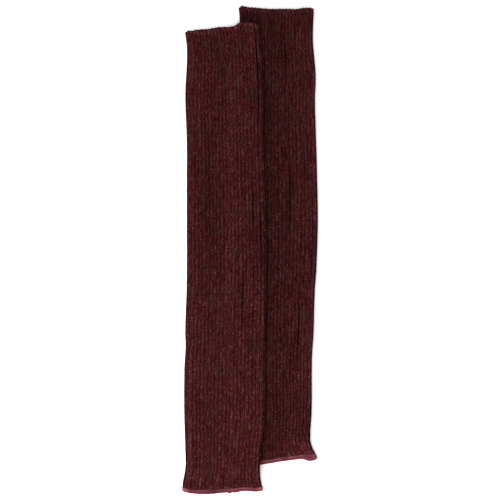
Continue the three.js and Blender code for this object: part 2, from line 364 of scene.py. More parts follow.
LOWER = Pattern(
    name="lower_leg",
    hem_y=(-274.7, -262.9),
    top_y=(311.1, 310.3),
    left_side=(
        Side(-281, -21.0),
        Side(-272, -19.4),
        Side(-259, -16.2),
        Side(-245, -14.8),
        Side(-194, -15.2),
        Side(-104, -16.8),
        Side(77, -17.8),
        Side(167, -16.8),
        Side(245, -14.4),
        Side(290, -13.6),
        Side(303, -13.9),
        Side(310, -14.9),
    ),
    right_side=(
        Side(-271, 87.4),
        Side(-265, 85.8),
        Side(-260, 83.7),
        Side(-254, 80.4),
        Side(-243, 77.9),
        Side(-207, 79.8),
        Side(-140, 80.2),
        Side(-108, 82.2),
        Side(-52, 83.9),
        Side(-26, 85.8),
        Side(38, 87.7),
        Side(103, 86.6),
        Side(193, 84.1),
        Side(225, 85.0),
        Side(268, 81.5),
        Side(296, 81.9),
        Side(304, 82.5),
        Side(310, 82.2),
    ),
    top_edge=(
        Edge(0.0, 0.0, 0.0),
        Edge(0.04, 2.8, 0.0),
        Edge(0.1, 1.6, 0.3),
        Edge(0.2, 0.3, 0.6),
        Edge(0.3, -0.2, 0.8),
        Edge(0.45, -1.2, 0.8),
        Edge(0.6, -0.9, 0.8),
        Edge(0.76, -1.0, 0.8),
        Edge(0.84, 0.1, 0.6),
        Edge(0.93, 0.8, 0.2),
        Edge(1.0, 0.2, 0.0),
    ),
    hem_edge=(
        Edge(0.0, 0.0, 0.0),
        Edge(0.3, -0.4, 0.0),
        Edge(0.45, 0.1, 0.0),
        Edge(0.58, 1.0, 0.0),
        Edge(0.75, 1.3, 0.0),
        Edge(0.83, 1.8, -1.3),
        Edge(0.9, 1.0, -3.8),
        Edge(0.95, 0.4, -3.2),
        Edge(1.0, 0.0, -2.0),
    ),
    crown=(
        Crown(0.0, 0.0),
        Crown(0.38, 0.0),
        Crown(0.5, 0.5),
        Crown(0.72, 0.9),
        Crown(0.92, 0.6),
        Crown(1.0, 0.0),
    ),
    troughs=(
        Trough(0.66, 0.08, -40, 180, 0.6),
        Trough(0.78, 0.07, -260, -60, 0.5),
        Trough(0.58, 0.08, 190, 330, 0.3),
    ),
    furrows=(
        Furrow(14, 0, 120, 0.7),
        Furrow(13, 225, 270, 0.5),
        Furrow(17, -160, -60, 0.6),
        Furrow(20, -120, 120, 0.2),
    ),
    # painted light and shade: a dark outline and lit lines along the right fold, a painted highlight on
    # the hem's curled right corner, lighter yarn near the hem, and the upper warmer's shadow above its
    # top edge and beside its edge
    patches=(
        Patch(21.5, 0.35, -285, -200, 0.5),
        Patch(21.0, 2.6, -278, -256, 1.4, 0.15),
        Patch(16.5, 5.0, -285, -250, 1.35),
        Patch(3.5, 4.2, 262, 311, 0.8),
        Patch(21.45, 0.75, -225, -10, 1.45),
        Patch(20.5, 0.35, -225, -10, 1.2),
        Patch(21.2, 0.35, -20, 300, 1.7),
        Patch(20.5, 0.4, -20, 300, 1.3),
        Patch(8.3, 1.6, 120, 235, 0.82),
        Patch(8.8, 1.8, -245, -95, 1.2, 0.1),
        Patch(8.9, 1.3, -110, 300, 0.9, 0.15),
        Patch(19.5, 2.0, 160, 235, 1.12),
        Patch(19.5, 2.2, -200, -75, 1.15),
    ),
    fibres=(Fibre(4.4, 295.6, 0.4, 5.6),),
    # painted shade across the width: darkest in the upper warmer's shadow beside its edge, and lighter
    # towards the right fold
    shades=(
        Shade(0.0, 0.62),
        Shade(0.3, 0.64),
        Shade(0.39, 0.62),
        Shade(0.5, 0.59),
        Shade(0.62, 0.66),
        Shade(0.7, 0.71),
        Shade(0.8, 0.77),
        Shade(1.0, 0.74),
    ),
    # painted shade on the back layer's band where it peeks out below the face layer near the right fold
    band_shades=(
        Shade(0.0, 1.02),
        Shade(0.7, 1.04),
        Shade(0.82, 0.76),
        Shade(0.97, 0.66),
        Shade(1.0, 0.6),
        Shade(1.03, 0.3),
        Shade(1.16, 0.3),
        Shade(1.22, 1.0),
        Shade(2.0, 1.0),
    ),
    seed=23,
)


def smooth_step(at: Array, low: Array | float, high: Array | float) -> Array:
    """Goes smoothly from 0 at `low` to 1 at `high`."""
    s = np.clip((at - low) / (high - low), 0.0, 1.0)
    return s * s * (3 - 2 * s)


def hill(at: Array, start: float, stop: float) -> Array:
    """A soft hill, 1 midway between `start` and `stop` and 0 outside them."""
    return np.sin(np.pi * np.clip((at - start) / (stop - start), 0.0, 1.0)) ** 2


def plateau(at: Array, start: float, stop: float) -> Array:
    """1 over the middle of a stretch, going smoothly to 0 at its `start` and its `stop`."""
    fade = PATCH_FADE * (stop - start)
    return smooth_step(at, start, start + fade) * (1 - smooth_step(at, stop - fade, stop))


def mixed(a: Array | float, b: Array | float, share: Array | float) -> Array:
    """The value at `share` of the way from `a` to `b`."""
    return a + (b - a) * share


def column(rows: Sequence[NamedTuple], name: str) -> Array:
    """One column of a table, as an array."""
    return np.array([getattr(row, name) for row in rows], float)


def unit(vectors: Array) -> Array:
    """Vectors at length 1."""
    return vectors / np.linalg.norm(vectors, axis=-1, keepdims=True)


def looked_up(rows: Sequence[NamedTuple], key: str, value: str, at: Array) -> Array:
    """A table's value at each key, on straight lines between its rows."""
    return np.interp(at, column(rows, key), column(rows, value))


def curve_through(rows: Sequence[NamedTuple], key: str, value: str) -> Callable[[Array], Array]:
    """Makes a smooth curve through a table's rows, level beyond both ends.

    Args:
        rows: The table's rows, in rising order of `key`.
        key: The column to look up.
        value: The column to give.

    Returns:
        A function from an array of keys to an array of values.
    """
    keys = column(rows, key)
    values = column(rows, value)
    last = len(rows) - 1
    before = np.maximum(np.arange(last + 1) - 1, 0)
    after = np.minimum(np.arange(last + 1) + 1, last)
    tangents = (values[after] - values[before]) / (keys[after] - keys[before])

    def curve(at: Array) -> Array:
        """The curve's value.

        Args:
            at: The keys to look up.

        Returns:
            A value for each key.
        """
        k = np.clip(at, keys[0], keys[-1])
        i = np.clip(np.searchsorted(keys, k), 1, last) - 1
        width = keys[i + 1] - keys[i]
        s = (k - keys[i]) / width
        start = (1 + 2 * s) * values[i] + s * width * tangents[i]
        end = (3 - 2 * s) * values[i + 1] - (1 - s) * width * tangents[i + 1]
        return (1 - s) ** 2 * start + s**2 * end

    return curve


def slow_noise(rng: np.random.Generator, rows: int, ribs: int, drift: Drift) -> Array:
    """Random values that drift slowly down each rib.

    Args:
        rng: The seeded source of the values.
        rows: Rows of points along the tube.
        ribs: Ribs round it.
        drift: How slowly they change, and their spread.

    Returns:
        An array of rows by ribs.
    """
    control = rng.normal(size=(rows // drift.step + 2, ribs))
    at = np.arange(rows) / drift.step
    i = at.astype(int)
    share = smooth_step(at - i, 0.0, 1.0)[:, None]
    return drift.spread * mixed(control[i], control[i + 1], share)


def new_piece(
    name: str, points: Array, faces: list[list[int]], maps: dict[str, Array]
) -> bpy.types.Object:
    """Makes a smooth piece at the origin.

    Args:
        name: The piece's name.
        points: Its points, in millimetres.
        faces: The point numbers of each face.
        maps: The place of each corner of each face, by the map's name, the active map last.

    Returns:
        The new object, in metres.
    """
    mesh = bpy.data.meshes.new(name)
    mesh.from_pydata((points * MM).tolist(), [], faces)
    for map_name, places in maps.items():
        layer = mesh.uv_layers.new(name=map_name)
        layer.data.foreach_set("uv", places.astype(np.float32).ravel())
    mesh.uv_layers.active_index = len(maps) - 1
    mesh.shade_smooth()
    piece = bpy.data.objects.new(name, mesh)
    bpy.context.scene.collection.objects.link(piece)
    return piece


class Spot(NamedTuple):
    """Places in a flattened section: share of the width, height, layer and a move along Y."""

    across: Array
    height: Array
    back: Array
    along: Array | float


class Form:
    """Where one warmer's cloth lies: its flat tube over whatever is under it."""

    def __init__(self, pattern: Pattern, height_under: Callable[[Array, Array], Array]) -> None:
        """Reads the pattern's curves.

        Args:
            pattern: The warmer's outline and folds.
            height_under: Height of the surface that it lies on, from x and y.
        """
        self.pattern = pattern
        self.height_under = height_under
        self.length = pattern.top_y[0] - pattern.hem_y[0]
        self.left = curve_through(pattern.left_side, "y", "x")
        self.right = curve_through(pattern.right_side, "y", "x")
        self.top_rise = curve_through(pattern.top_edge, "across", "rise")
        self.top_lead = curve_through(pattern.top_edge, "across", "lead")
        self.hem_rise = curve_through(pattern.hem_edge, "across", "rise")
        self.hem_lead = curve_through(pattern.hem_edge, "across", "lead")
        self.crown = curve_through(pattern.crown, "across", "lift")

    def sides(self, share: Array, beyond: Array | float = 0.0) -> tuple[Array, Array, Array, Array]:
        """The two side edges.

        Args:
            share: Share of the length, from the hem upwards.
            beyond: How far past the hem.

        Returns:
            x and y of the left edge, then x and y of the right edge.
        """
        left_y = mixed(self.pattern.hem_y[0], self.pattern.top_y[0], share) - beyond
        right_y = mixed(self.pattern.hem_y[1], self.pattern.top_y[1], share) - beyond
        return self.left(left_y), left_y, self.right(right_y), right_y

    def lengthwise(self, share: Array, across: Array, back: Array) -> Array:
        """How far the curves of the two ends move the cloth along Y.

        Args:
            share: Share of the tube's length from the hem, 0 to 1.
            across: Share of its width from the left.
            back: 1 on the back layer and 0 on the face.

        Returns:
            Distances in millimetres.
        """
        at_hem = 1 - smooth_step(share * self.length, 0.0, CLOTH.edge_fade)
        at_top = 1 - smooth_step((1 - share) * self.length, 0.0, CLOTH.edge_fade)
        hem_lead = 1 - smooth_step(share * self.length, 0.0, CLOTH.lead_fade)
        top_lead = 1 - smooth_step((1 - share) * self.length, 0.0, CLOTH.lead_fade)
        rise = self.top_rise(across) * at_top + self.hem_rise(across) * at_hem
        lead = self.top_lead(across) * top_lead + self.hem_lead(across) * hem_lead
        return rise + lead * back

    def lift(self, across: Array, y: Array) -> Array:
        """How much the soft folds lift the face layer off the back layer.

        Args:
            across: Share of the tube's width from the left.
            y: Places along Y, in millimetres.

        Returns:
            Heights in millimetres.
        """
        sunk = sum(
            t.depth
            * hill(across, t.across - t.half_width, t.across + t.half_width)
            * hill(y, t.start, t.stop)
            for t in self.pattern.troughs
        )
        return np.maximum(self.crown(across) - sunk, 0.0)

    def place(self, share: Array, beyond: Array | float, spot: Spot) -> Array:
        """Points of the cloth, in millimetres.

        Args:
            share: Share of the length, from the hem upwards.
            beyond: How far past the hem.
            spot: Where in the flattened section the points are.

        Returns:
            An array of points, with x, y and z last.
        """
        left_x, left_y, right_x, right_y = self.sides(share, beyond)
        x = mixed(left_x, right_x, spot.across)
        y = mixed(left_y, right_y, spot.across)
        y = y + self.lengthwise(share, spot.across, spot.back) + spot.along
        x, y, height = np.broadcast_arrays(x, y, spot.height)
        return np.stack([x, y, self.height_under(x, y) + height], axis=-1)

    def outside(
        self,
        share: Array,
        turn: Array,
        out: Array,
        relief: Array | float,
        inset: Array | float = 0.0,
        beyond: Array | float = 0.0,
        along: Array | float = 0.0,
    ) -> Array:
        """Points of the tube's outer skin, round two folds and two layers.

        Args:
            share: Share of the length, from the hem upwards.
            turn: Place round the tube in rib pitches, 0 on the left fold and rising over the face.
            out: How far the yarn stands off the cloth's line.
            relief: Height of the ribs, which the underside lies on.
            inset: How far the section is drawn in.
            beyond: How far past the hem.
            along: A further move along Y.

        Returns:
            An array of points in millimetres.
        """
        left_x, left_y, right_x, right_y = self.sides(share, beyond)
        width = np.hypot(right_x - left_x, right_y - left_y)
        margin = relief + inset
        line = width - 2 * margin
        radius = CLOTH.fold_radius
        fold = math.pi / 2 * radius
        flat = line - 2 * radius
        pitch = (2 * fold + flat) / CLOTH.ribs_per_face
        turn = np.mod(turn, CLOTH.ribs)
        face = turn <= CLOTH.ribs_per_face
        distance = np.where(face, turn, CLOTH.ribs - turn) * pitch
        on_left = distance < fold
        on_flat = ~on_left & (distance <= fold + flat)
        angle = np.where(on_left, math.pi - distance / radius, 0.0)
        angle = np.where(on_left | on_flat, angle, math.pi / 2 - (distance - fold - flat) / radius)
        nu = np.where(on_flat, 0.0, np.cos(angle))
        nz = np.where(on_flat, 1.0, np.sin(angle))
        centre = np.where(on_left, radius, line - radius)
        u = np.where(on_flat, radius + distance - fold, centre + radius * nu)
        across = (u + nu * np.where(face, out, out - relief * nz) + margin) / width
        lifted = self.lift(across, (left_y + right_y) / 2)
        over = radius * (1 + nz) + nz * (out - inset + lifted)
        under = radius * (1 - nz) - nz * (out - relief * nz - inset)
        spot = Spot(
            across=across,
            height=np.where(face, over, under),
            back=np.where(face, 0.5 * (1 - nz), 0.5 * (1 + nz)),
            along=along,
        )
        return self.place(share, beyond, spot)

    def inside(self, share: Array, columns: Array, beyond: Array | float = 0.0) -> Array:
        """Points of the narrow space between the two layers.

        Args:
            share: Share of the length, as a column of values.
            columns: Shares of the width between the two tips.
            beyond: How far past the hem.

        Returns:
            An array of points in millimetres, from the left tip over and back under.
        """
        left_x, left_y, right_x, right_y = self.sides(share, beyond)
        tip = CLOTH.side_wall / np.hypot(right_x - left_x, right_y - left_y)
        over = mixed(2 * tip, 1 - 2 * tip, columns)
        under = over[:, ::-1]
        lifted = self.lift(over, (left_y + right_y) / 2)
        roof = CLOTH.back_wall + CLOTH.layer_gap + lifted
        middle = np.full_like(tip, CLOTH.back_wall + CLOTH.layer_gap / 2)
        spot = Spot(
            across=np.concatenate([tip, over, 1 - tip, under], axis=1),
            height=np.concatenate([middle, roof, middle, 0 * under + CLOTH.back_wall], axis=1),
            back=np.concatenate([0 * tip + 0.5, 0 * over, 0 * tip + 0.5, 0 * under + 1], axis=1),
            along=0.0,
        )
        return self.place(share, beyond, spot)


@dataclass(frozen=True)
class Bed:
    """The surface under the upper warmer: the floor, and the lower warmer's back."""

    lower: Form
    climb_before: float = 17.0
    climb_past: float = 1.5
    drop_before: float = 2.5
    drop_length: float = 17.0

    def height(self, x: Array, y: Array) -> Array:
        """Height of the surface that the tube lies on.

        Args:
            x: Places along X, in millimetres.
            y: Places along Y.

        Returns:
            A height in millimetres for each place.
        """
        edge = self.lower.left(y)
        climbed = smooth_step(x, edge - self.climb_before, edge + self.climb_past)
        across = np.clip((x - edge) / (self.lower.right(y) - edge), 0.0, 1.0)
        hem_y = self.lower.pattern.hem_y
        tube_end = mixed(hem_y[0], hem_y[1], across) + self.lower.hem_rise(across)
        hem_end = tube_end - CLOTH.band_length - self.drop_before
        kept = smooth_step(y, hem_end - self.drop_length, hem_end)
        return (CLOTH.tube_height + CLOTH.resting_clearance) * climbed * kept


class Tile(NamedTuple):
    """A rectangle of the bake map."""

    left: float
    low: float
    right: float
    high: float


class Tiles(NamedTuple):
    """Where the four parts of a closed tube go in the bake map."""

    outer: Tile
    inner: Tile
    hem: Tile
    top: Tile


class Wall(NamedTuple):
    """A grid of points round a tube, with the place of each column and the course of each row."""

    points: Array
    turns: Array
    courses: Array


class Ring(NamedTuple):
    """A row of points round a tube, and their turns: 0 to 1 over the face, 1 to 2 back under it."""

    numbers: Array
    turns: Array


def inner_turns(columns: Array) -> Array:
    """Turns of an inner row's points, from the left tip over and back under to it again."""
    over = mixed(TIP_TURN, 1 - TIP_TURN, columns)
    return np.concatenate([[0.0], over, [1.0], over + 1.0, [2.0]])


class Skin:
    """A closed mesh in the making, with each corner's place in the knit and in the bake map."""

    plain_tone = (0.55, 1.0)
    strip_fill = 0.99  # share of its width that a strip takes in the bake map

    def __init__(self) -> None:
        """Starts with no points."""
        self.points: list[Array] = []
        self.count = 0
        self.faces: list[list[int]] = []
        self.maps: dict[str, list[Array]] = {KNIT_MAP: [], TONE_MAP: [], BAKE_MAP: []}

    def add_points(self, points: Array) -> Array:
        """Adds points to the skin.

        Args:
            points: An array of points in millimetres, of any shape.

        Returns:
            The points' numbers, in the same shape.
        """
        numbers = np.arange(points[..., 0].size).reshape(points.shape[:-1]) + self.count
        self.points.append(points.reshape(-1, 3))
        self.count += numbers.size
        return numbers

    def add_corners(self, knit: Array, tone: Array, bake: Array) -> None:
        """Adds the places of the newest faces' corners in each map."""
        for map_name, places in ((KNIT_MAP, knit), (TONE_MAP, tone), (BAKE_MAP, bake)):
            self.maps[map_name].append(places.reshape(-1, 2))

    def grid(
        self,
        numbers: Array,
        u: Array,
        v: Array,
        tile: Tile,
        strips: int = 1,
        inwards: bool = False,
        tone: Array | None = None,
    ) -> None:
        """Closes a grid of rows round a tube.

        Args:
            numbers: Point numbers, rows by columns.
            u: Place round the tube of each column, and of the first one again after a full turn.
            v: Course of each row.
            tile: Where the grid goes in the bake map.
            strips: Strips side by side that the grid is cut into there.
            inwards: True on the inner skin, which faces into the tube.
            tone: Lightness and paleness of each point, plain if not given.
        """
        rows, columns = numbers.shape
        if tone is None:
            tone = np.broadcast_to(self.plain_tone, (rows, columns, 2))
        toned = np.concatenate([tone, tone[:, :1]], axis=1)
        wrapped = np.concatenate([numbers, numbers[:, :1]], axis=1)
        j, i = np.meshgrid(np.arange(rows - 1), np.arange(columns), indexing="ij")
        corners = ((0, 0), (0, 1), (1, 1), (1, 0))
        order = corners[::-1] if inwards else corners
        per_strip = math.ceil((rows - 1) / strips)
        strip = j // per_strip
        wide = (tile.right - tile.left) / strips
        fill = self.strip_fill if strips > 1 else 1.0
        round_it = (u - u[0]) / (u[-1] - u[0])

        def baked(dj: int, di: int) -> Array:
            """Where one corner of each face lies in the bake map.

            Args:
                dj: The corner's row in its face, 0 or 1.
                di: Its column in its face.

            Returns:
                Places, rows by columns.
            """
            across = tile.left + wide * (strip + fill * round_it[i + di])
            up = mixed(tile.low, tile.high, (j + dj - strip * per_strip) / per_strip)
            return np.stack([across, up], axis=-1)

        faces = np.stack([wrapped[j + dj, i + di] for dj, di in order], axis=-1)
        self.faces += faces.reshape(-1, 4).tolist()
        self.add_corners(
            knit=np.stack([np.stack([u[i + di], v[j + dj]], -1) for dj, di in order], axis=-2),
            tone=np.stack([toned[j + dj, i + di] for dj, di in order], axis=-2),
            bake=np.stack([baked(dj, di) for dj, di in order], axis=-2),
        )

    def rim(self, outer: Ring, inner: Ring, course: float, tile: Tile, at_hem: bool) -> None:
        """Closes the strip between the outer and the inner skin at one end.

        Args:
            outer: The outer skin's last row.
            inner: The inner skin's last row.
            course: The course that the rim shows.
            tile: Where the rim goes in the bake map.
            at_hem: True at the lower end.
        """
        rings = (outer, inner)
        sizes = (len(outer.numbers), len(inner.numbers))
        at = [0, 0]
        used: list[tuple[int, int]] = []
        while at[0] < sizes[0] or at[1] < sizes[1]:
            ahead = [ring.turns[min(k + 1, size)] for ring, k, size in zip(rings, at, sizes)]
            side = 0 if at[1] >= sizes[1] or (at[0] < sizes[0] and ahead[0] <= ahead[1]) else 1
            corners = [(0, at[0]), (1, at[1]), (side, at[side] + 1)]
            at[side] += 1
            if not at_hem:
                corners = [corners[0], corners[2], corners[1]]
            self.faces.append([int(rings[s].numbers[k % sizes[s]]) for s, k in corners])
            used += corners
        turns = np.array([rings[s].turns[k] for s, k in used])
        heights = np.array([(tile.low, tile.high)[s] for s, _ in used])
        across = mixed(tile.left, tile.right, np.clip(turns / 2, 0, 1))
        self.add_corners(
            knit=np.stack([turns * CLOTH.ribs_per_face, np.full(len(used), course)], axis=-1),
            tone=np.tile(self.plain_tone, (len(used), 1)),
            bake=np.stack([across, heights], axis=-1),
        )

    def enclose(self, outer: Wall, inner: Wall, tiles: Tiles, strips: int, tone: Array) -> None:
        """Makes a whole tube of an outer and an inner wall.

        Args:
            outer: The outer wall, its columns placed in rib pitches.
            inner: The inner wall, its columns placed in turns.
            tiles: Where the parts go in the bake map.
            strips: Strips side by side that the outer wall is cut into there.
            tone: Lightness and paleness of the outer wall's points.
        """
        shell = self.add_points(outer.points)
        core = self.add_points(inner.points)
        around = np.append(outer.turns, outer.turns[0] + CLOTH.ribs)
        self.grid(shell, around, outer.courses, tiles.outer, strips, tone=tone)
        round_inside = inner.turns * CLOTH.ribs_per_face
        self.grid(core, round_inside, inner.courses, tiles.inner, inwards=True)
        for row, tile, at_hem in ((0, tiles.hem, True), (-1, tiles.top, False)):
            edge = Ring(shell[row], around / CLOTH.ribs_per_face)
            self.rim(edge, Ring(core[row], inner.turns), inner.courses[row], tile, at_hem)

    def finish(self, name: str) -> bpy.types.Object:
        """Makes the object, named `name`, with its maps."""
        maps = {map_name: np.concatenate(rows) for map_name, rows in self.maps.items()}
        return new_piece(name, np.concatenate(self.points), self.faces, maps)


@dataclass(frozen=True)
class Columns:
    """The columns of points round a tube: their places in rib pitches, and which have stitches."""

    turns: Array
    fine: Array

    @property
    def off(self) -> Array:
        """Distance of each column from its rib's middle, 0.5 in a valley."""
        return np.abs(self.turns - np.round(self.turns))

    @property
    def rib(self) -> Array:
        """Number of the rib that each column is on."""
        return np.round(self.turns).astype(int) % CLOTH.ribs

    @property
    def valley(self) -> Array:
        """Number of the valley that each column is on, the same as the rib before it."""
        return np.floor(self.turns).astype(int) % CLOTH.ribs

    @property
    def across(self) -> Array:
        """Share of the face's width, 1 all over the back layer."""
        return np.clip(self.turns / CLOTH.ribs_per_face, 0.0, 1.0)

    @property
    def from_fold(self) -> Array:
        """Rib pitches from the nearer fold, less than 0 on the back layer."""
        half = CLOTH.ribs_per_face / 2
        return half - np.abs(self.turns - half)


@dataclass
class RibTube:
    """The marled tube: knit stitches on every rib of the face and round the folds."""

    form: Form
    rows_per_course: int = 2
    fine_past_fold: int = 1  # ribs past each fold that still have their stitches
    fine_marks: tuple[float, ...] = (-0.5, -0.38, -0.25, -0.12, 0.0, 0.12, 0.25, 0.38)
    coarse_marks: tuple[float, ...] = (-0.5, 0.0)
    inner_columns: int = 19
    inner_rows: int = 84
    profile: tuple[Strand, ...] = (
        Strand(0.0, 0.5, 0.05, 1.0),
        Strand(0.12, 0.68, 0.11, 1.03),
        Strand(0.25, 0.74, 0.13, 1.05),
        Strand(0.38, 0.26, 0.10, 0.98),
        Strand(0.5, -0.62, -0.06, 0.92),
    )
    valley_start: float = 0.22  # distance from a rib's middle
    plain_rib: float = 0.25  # half the width of a rib without stitches
    plain_valley: float = 0.1
    stitch_spread: float = 0.035
    rib_height: Drift = Drift(18, 0.05)
    valley_height: Drift = Drift(26, 0.2)
    highest: float = 0.92
    stitch_slant: float = 0.95  # courses that a stitch's leg climbs
    leg_end: float = 0.38  # distance from a rib's middle at which it has climbed them
    slant_fade: float = 2.5  # courses from an end to full slant
    wander: Drift = Drift(30, 0.05)
    hem_fade: float = 5.0
    bind_off_start: float = 2.8
    bind_off_full: float = 1.0
    chain: tuple[float, float, float] = (0.52, 0.2, 0.06)  # height, and its waves' heights
    loop_points: tuple[float, float] = (0.5, 2.2)  # least and most of the ends' scallop
    rim_rows: tuple[tuple[float, float], ...] = ((0.30, 0.35), (0.45, 0.95))  # along, and in
    rim_course: float = 0.25  # courses from one row of the rim to the next
    lines_per_rib: int = 6  # lines of yarn that differ in lightness
    line_tones: tuple[Drift, ...] = (Drift(12, 0.10), Drift(60, 0.03), Drift(3, 0.20), Drift(1, 0.33))
    rib_tone: Drift = Drift(40, 0.02)
    tone_range: tuple[float, float] = (0.05, 3.0)
    pale_start: float = 0.25  # distance from a rib's middle at which the valleys' painted shade starts
    pale_power: float = 0.95  # how much paler light yarn is than dark yarn
    # painted shade: the share of the paleness left deep in a valley, where the yarn shows redder
    valley_pale: float = 0.72
    # painted shade in furrows, troughs, folds and at the ends, and a painted highlight along the top lip
    furrow_shade: float = 0.8
    furrow_fade: tuple[float, float] = (0.1, 0.4)
    deep_furrow: float = 0.6
    trough_shade: float = 0.16
    deep_trough: float = 0.7
    fold_shade: float = 0.18
    fold_fade: tuple[float, float] = (0.1, 0.75)
    end_shade: float = 0.6
    end_fade: tuple[float, float] = (0.2, 1.4)
    lip_light: float = 0.35
    lip_fade: tuple[float, float] = (2.5, 6.0)
    tiles: Tiles = Tiles(
        outer=Tile(0.0, 0.0, 1.0, 0.9),
        inner=Tile(0.0, 0.955, 1.0, 0.995),
        hem=Tile(0.0, 0.91, 1.0, 0.925),
        top=Tile(0.0, 0.93, 1.0, 0.945),
    )
    columns: Columns = field(init=False)
    skin: Array = field(init=False)

    def marked(self) -> Columns:
        """Marks the columns, eight to a rib with stitches and two to a plain one.

        Returns:
            The columns round the tube.
        """
        turns: list[float] = []
        fine: list[bool] = []
        for rib in range(CLOTH.ribs):
            near = rib <= CLOTH.ribs_per_face + self.fine_past_fold
            detailed = near or rib >= CLOTH.ribs - self.fine_past_fold
            marks = self.fine_marks if detailed else self.coarse_marks
            turns += [rib + mark for mark in marks]
            fine += [detailed] * len(marks)
        return Columns(np.array(turns), np.array(fine))

    def stitched(self, rng: np.random.Generator, rows: int) -> Array:
        """The height of the yarn over the cloth's line, uneven as in a hand-feeling wool.

        Args:
            rng: The seeded source of unevenness.
            rows: Rows along the tube.

        Returns:
            Heights in millimetres, rows by columns.
        """
        off, fine = self.columns.off, self.columns.fine
        plain = np.where(off < self.plain_rib, CLOTH.relief, self.plain_valley)
        height = np.where(fine, looked_up(self.profile, "off", "height", off), plain)
        swell = looked_up(self.profile, "off", "swell", off) * fine
        stitch = np.arange(rows) // self.rows_per_course
        middle = (np.arange(rows) % self.rows_per_course == 1).astype(float)[:, None]
        leg = np.floor(self.columns.turns * 2).astype(int) % (2 * CLOTH.ribs)
        uneven = rng.normal(scale=self.stitch_spread, size=(stitch[-1] + 1, 2 * CLOTH.ribs))
        on_rib = slow_noise(rng, rows, CLOTH.ribs, self.rib_height)[:, self.columns.rib]
        in_valley = slow_noise(rng, rows, CLOTH.ribs, self.valley_height)[:, self.columns.valley]
        heights = height + swell * (2 * middle - 1) + uneven[stitch][:, leg] * middle * fine
        heights += on_rib * (1 - 2 * off) * fine
        heights += in_valley * smooth_step(off, self.valley_start, 0.5) * fine
        return np.minimum(heights, self.highest)

    def furrowed(self, heights: Array, y: Array) -> Array:
        """Opens the furrows of the pattern.

        Args:
            heights: Heights of the yarn, rows by columns.
            y: Each point's place along Y.

        Returns:
            The heights with the furrows.
        """
        in_valley = smooth_step(self.columns.off, self.valley_start, 0.5)
        for row in self.form.pattern.furrows:
            here = in_valley * (self.columns.valley == row.valley)
            heights = heights - row.depth * hill(y, row.start, row.stop) * here
        return heights

    def toned(self, rng: np.random.Generator, share: Array, y: Array) -> Array:
        """How light and how pale the yarn shows: uneven at random from line to line, with painted shade
        in the valleys, where it shows redder, and the patches' and shades' painted light and shade.

        Args:
            rng: The seeded source of unevenness.
            share: Each point's share of the length, from the hem upwards.
            y: Each point's place along Y, in millimetres.

        Returns:
            Lightness and paleness, rows by columns by two.
        """
        rows, off = len(share), self.columns.off
        lines = self.lines_per_rib * CLOTH.ribs
        at = self.columns.turns * self.lines_per_rib
        first = np.floor(at).astype(int)
        uneven = np.zeros_like(y)
        for drift in self.line_tones:
            noise = slow_noise(rng, rows, lines, drift)
            uneven += mixed(noise[:, first % lines], noise[:, (first + 1) % lines], at - first)
        uneven += slow_noise(rng, rows, CLOTH.ribs, self.rib_tone)[:, self.columns.rib]
        uneven = np.exp(uneven * self.columns.fine)
        tone = looked_up(self.profile, "off", "tone", off) * uneven
        # painted shade in the valleys, which leaves them less pale and so redder
        in_valley = smooth_step(off, self.pale_start, 0.5)
        pale = uneven**self.pale_power * mixed(1.0, self.valley_pale, in_valley)
        # the patches' painted light and shade
        for row in self.form.pattern.patches:
            shown = plateau(self.columns.turns, row.turn - row.half_width, row.turn + row.half_width)
            shown = shown * plateau(y, row.start, row.stop)
            tone = tone * mixed(1.0, row.light, shown)
            pale = pale * (1 + row.pale * shown)
        # painted shade of furrows, troughs, folds and ends, and the top lip's painted highlight
        tone = np.clip(tone * self.shaded(share, y), *self.tone_range)
        # painted light and shade across the width
        tone = tone * curve_through(self.form.pattern.shades, "across", "light")(self.columns.across)
        return np.stack([tone, pale], axis=-1)

    def shaded(self, share: Array, y: Array) -> Array:
        """Painted shade in furrows, troughs, folds and at the ends, where light is lost, and a painted
        highlight along the top lip.

        Args:
            share: Each point's share of the length, from the hem upwards.
            y: Each point's place along Y, in millimetres.

        Returns:
            A factor for each point's lightness.
        """
        factor = np.ones_like(y)
        for row in self.form.pattern.furrows:
            shade = self.furrow_shade * min(1.0, row.depth / self.deep_furrow)
            here = smooth_step(self.columns.off, *self.furrow_fade)
            here = here * (self.columns.valley == row.valley)
            factor = factor * (1 - shade * hill(y, row.start, row.stop) * here)
        for row in self.form.pattern.troughs:
            shade = self.trough_shade * row.depth / self.deep_trough
            sunk = hill(self.columns.across, row.across - row.half_width, row.across + row.half_width)
            factor = factor * (1 - shade * sunk * hill(y, row.start, row.stop))
        from_top = (1 - share) * self.form.length
        in_fold = 1 - smooth_step(self.columns.from_fold, *self.fold_fade)
        at_end = 1 - smooth_step(from_top, *self.end_fade)
        at_lip = 1 - smooth_step(from_top, *self.lip_fade)
        factor = factor * (1 - self.fold_shade * in_fold) * (1 - self.end_shade * at_end)
        return factor * (1 + self.lip_light * at_lip)

    def with_rim(self, values: Array) -> Array:
        """Repeats the last row for each row of the rounded rim."""
        return np.concatenate([values, np.repeat(values[-1:], len(self.rim_rows), axis=0)])

